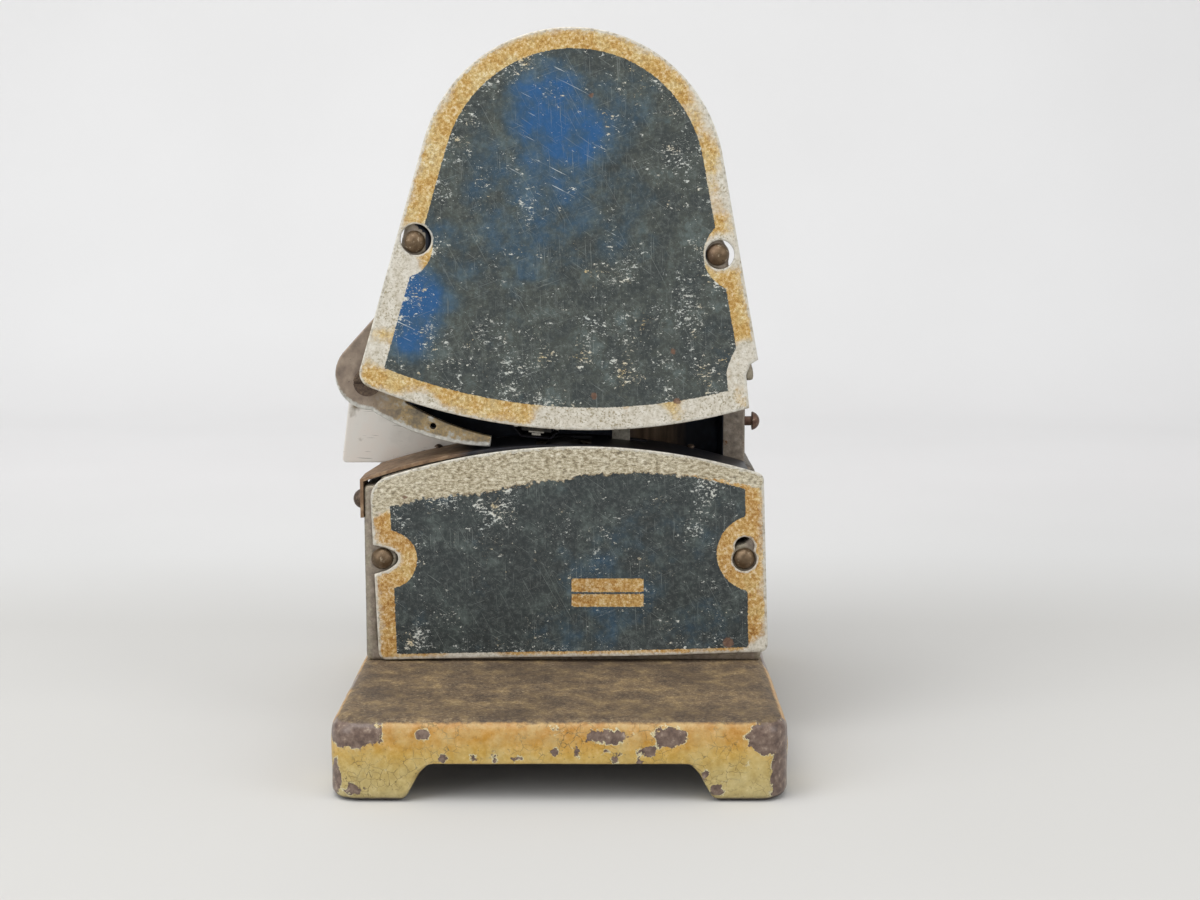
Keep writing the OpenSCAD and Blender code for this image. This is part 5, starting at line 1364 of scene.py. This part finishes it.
def fence_tin():
    """Tinned sheet: smooth and pale, with brown stains at its upper end and dark rub marks."""
    material, tree, place = new_material("stained_fence_sheet")
    tin = tone(tree, place, 16, [(0.0, "#cbc7bf"), (0.5, "#dcd8d1"), (1.0, "#ded4cb")], detail=6, seed=1.0)
    made = finish(tin, rough=0.38, metal=0.35)
    stain = tone(tree, place, 2.5, [(0.0, "#5f5343"), (1.0, "#85765b")], detail=6, seed=2.0)
    height = add(tree, "ShaderNodeSeparateXYZ", {0: place}).outputs["Z"]
    upper = add(tree, "ShaderNodeMapRange", {"Value": height, "From Min": STAIN_LOW * MM,
        "From Max": STAIN_HIGH * MM, "To Min": -0.1, "To Max": 0.25}).outputs["Result"]
    spots = grain(tree, place, 5, detail=6, rough=0.5)
    spots = add(tree, "ShaderNodeMath", {0: spots, 1: upper}).outputs[0]
    spots = add(tree, "ShaderNodeMapRange", {"Value": spots, "From Min": 0.58, "From Max": 0.8})
    made = over(tree, made, finish(stain, rough=0.6, metal=0.2), spots.outputs["Result"])
    rubs = scratches(tree, place, (3, 9, 0.5, 0.68, 3.0))
    made = over(tree, made, finish("#5a554e", rough=0.6), rubs, 0.6)
    close_material(tree, made, relief(tree, place, 3, 0.03, detail=6))
    return material


REAR_STEP = 2.0
REAR_EDGE = 0.3


def make_rear_covers():
    """The two painted covers behind."""
    paint = rear_paint()
    for name, node in (("rear_head_cover", "rear_cover"), ("rear_box_cover", "lower_rear_cover")):
        mesh, _ = sheet_mesh(node, REAR_STEP, REAR_EDGE)
        place_piece(name, mesh, paint, "root", "rear_paint", node)


def rear_paint():
    """Brush paint on sheet steel: dull, with fine upright brush marks, rubbed patches and bare edges."""
    material, tree, place = new_material("rear_sheet_paint")
    paint = tone(tree, place, 12, [(0.0, "#3e3a35"), (0.5, "#4a453e"), (1.0, "#585248")], detail=6, seed=1.0)
    made = finish(paint, rough=0.55)
    brush_marks = scratches(tree, place, (90, 22, 0.4, 0.62, 0.0))
    made = over(tree, made, finish("#6f675a", rough=0.6), brush_marks, 0.5)
    rubbed = patches(tree, place, 2.4, 0.7, soft=0.02, seed=2.0)
    made = over(tree, made, finish("#8f8574", rough=0.45, metal=0.5), rubbed)
    painted = inside(tree, place, "rim", 0.5, ragged=0.8, size=1.6)
    made = over(tree, finish("#938975", rough=0.4, metal=0.6), made, painted)
    close_material(tree, made, relief(tree, place, 1.4, 0.1, detail=6))
    return material


# The two pieces that bend when the pendulum swings


def smoothed(node, levels, kind):
    """A node's mesh, subdivided so that it bends or turns smoothly."""
    settings = {"subdivision_type": kind, "levels": levels}
    return evaluated(meshed(merged(node), node), ("SUBSURF", settings))


# The ribbon's threads, drawn coarser than real ones so that they show, and the length of a wave at a scale of
# 1
THREAD = 0.7
WAVE_LENGTH = math.pi / 10


def make_ribbon():
    """The ribbon, whose lower part swings with the pendulum."""
    mesh = smoothed("ribbon", 3, "SIMPLE")
    piece = place_piece("ink_ribbon", mesh, inked_cotton(), None, "inked_ribbon", "ribbon")
    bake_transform(piece)


def inked_cotton():
    """Woven cotton soaked in violet-black ink: dull, with threads both ways and paler rubbed patches."""
    material, tree, place = new_material("inked_cotton")
    threads = [add(tree, "ShaderNodeTexWave", {"Vector": place, "Scale": WAVE_LENGTH / (THREAD * MM),
        "Distortion": 0.4}, bands_direction=way).outputs["Fac"] for way in ("Y", "Z")]
    weave = add(tree, "ShaderNodeMath", {0: threads[0], 1: threads[1]}, operation="MULTIPLY").outputs[0]
    shade = add(tree, "ShaderNodeValToRGB", {0: weave}, stops=[(0.0, "#0c0b12"), (1.0, "#2a2634")])
    made = finish(shade.outputs["Color"], rough=0.85, height=weave)
    rubbed = patches(tree, place, 3, 0.62, soft=0.06, seed=1.0)
    made = over(tree, made, finish("#3c3846", rough=0.9), rubbed)
    close_material(tree, made)
    return material


def make_spring():
    """The return spring, which the pendulum stretches when it swings."""
    mesh = smoothed("return_spring", 1, "CATMULL_CLARK")
    mesh.shade_smooth()
    material = worn_metal("spring_wire_steel", *METALS["spring_wire"])
    piece = place_piece("coil_spring", mesh, material, None, "spring_wire", "return_spring")
    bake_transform(piece)


# Every other node keeps its CAD shape, with its sharp edges broken

# What each record slot looks like: shades from dark to light, roughness, metal, size of its spots in mm and
# the shade of its stains
METALS = {
    # Bare steel sheet of the roller's bracket, stained
    "bare_sheet": (["#6f6a61", "#8b857a", "#a39d91"], 0.42, 0.7, 6.0, "#5a4a38"),
    # Catch and pawl: hard steel rubbed grey, with brown pits
    "worn_steel": (["#8a8579", "#b3ad9f", "#d8d1c2"], 0.5, 0.2, 1.6, "#7a6c59"),
    # Slotted screws: oxidised brown
    "dull_screws": (["#3a2e27", "#58493d", "#776654"], 0.45, 0.6, 1.2, "#261e1a"),
    # Shafts, posts and type: ground bright, with a film of old oil
    "ground_steel": (["#6b6760", "#8d8981", "#b2aea6"], 0.25, 0.9, 3.0, "#5c4c36"),
    # Spring wire: drawn grey steel
    "spring_wire": (["#55514b", "#77736c", "#9a968e"], 0.3, 0.9, 1.0, "#4a3d2f"),
    # Arm, holder and spools: blackened steel
    "dark_steel": (["#191817", "#262422", "#38352f"], 0.45, 0.6, 4.0, "#4d4436"),
    # Bush and ratchet: brass gone brown
    "brass_parts": (["#6b5025", "#8d6d35", "#b08d4c"], 0.35, 0.85, 2.5, "#3f3320"),
    # Platen and stops: hard rubber, grey with dust
    "black_rubber": (["#131211", "#1e1c1b", "#2f2c2a"], 0.75, 0.0, 2.0, "#4a4641"),
}
# Edges are broken by this width where they turn by more than EDGE_TURN
EDGE_BREAK = 0.15
EDGE_TURN = math.radians(35)
# Two sets of fine scratches on old metal, as scratches() takes them
METAL_SCRATCHES = [(30, 8, 0.15, 0.7, 3.0), (-55, 6, 0.12, 0.7, 4.0)]


def worn_metal(name, shades, rough, metal, spot, stain):
    """Old metal or rubber: mottled shades, stained patches, fine scratches and a slight grain."""
    material, tree, place = new_material(name)
    base = tone(tree, place, spot, list(zip((0.0, 0.5, 1.0), shades)), detail=7, rough=0.68, seed=1.0)
    made = finish(base, rough=rough, metal=metal)
    stained = patches(tree, place, 0.8 * spot, 0.6, soft=0.06, detail=6, seed=2.0)
    made = over(tree, made, finish(stain, rough=min(1.0, rough + 0.25), metal=0.4 * metal), stained)
    bright = finish(shades[-1], rough=max(0.15, rough - 0.1), metal=metal)
    made = over(tree, made, bright, scratches(tree, place, *METAL_SCRATCHES), 0.7)
    close_material(tree, made, relief(tree, place, 0.5 * spot, 0.05, detail=6))
    return material


# Left of the middle the deck is dark, with ink and painted shade, up to the first of these x, and rusty from
# the second on
INK_AND_SHADE_X = -22
RUSTY_X = -30


def deck_steel():
    """Steel sheet, browned by rust at its open left end, and black with ink and with painted shade where the
    tickets slide under the head.
    """
    material, tree, place = new_material("browned_deck_sheet")
    rust = tone(tree, place, 3.0, [(0.0, "#54402f"), (0.5, "#84694f"), (1.0, "#ab9478")], detail=7, rough=0.7)
    # Dark: ink, and painted shade under the head
    ink = tone(tree, place, 5.0, [(0.0, "#121217"), (0.6, "#1f1f26"), (1.0, "#3a3430")], detail=6, seed=2.0)
    across = add(tree, "ShaderNodeSeparateXYZ", {0: place}).outputs["X"]
    across = add(tree, "ShaderNodeMath", {0: across, 1: relief(tree, place, 9, 12 * MM)}).outputs[0]
    left = add(tree, "ShaderNodeMapRange", {"Value": across, "From Min": (machine_x + INK_AND_SHADE_X) * MM,
        "From Max": (machine_x + RUSTY_X) * MM}).outputs["Result"]
    made = over(tree, finish(ink, rough=0.45, metal=0.2), finish(rust, rough=0.6, metal=0.2), left)
    close_material(tree, made, relief(tree, place, 2, 0.06, detail=6))
    return material


def dress_nodes():
    """Gives each shown node its slot's look and breaks its edges."""
    slots = {part["node"]: part["material_slot"] for part in frame["record"]["subparts"]}
    looks = {slot: worn_metal(slot + "_worn", *METALS[slot]) for slot in METALS if slot != "spring_wire"}
    looks["rusty_sheet"] = deck_steel()
    for name, node in nodes.items():
        if node.hide_render:
            continue
        node.data.materials.clear()
        node.data.materials.append(looks[slots[name]])
        weld = node.modifiers.new("joined_corners", "WELD")
        weld.merge_threshold = MERGE
        bevel = node.modifiers.new("broken_edges", "BEVEL")
        bevel.width = EDGE_BREAK * MM
        bevel.segments = 2
        bevel.angle_limit = EDGE_TURN
        node.modifiers.new("even_light", "WEIGHTED_NORMAL")


make_camera()
make_stage()
make_lights()
bpy.context.scene.view_settings.view_transform = "Standard"

make_base()
make_upper_plate()
make_lower_plate()
make_head()
make_lower_box()
make_studs()
make_finger()
make_fence()
make_rear_covers()
make_ribbon()
make_spring()
dress_nodes()
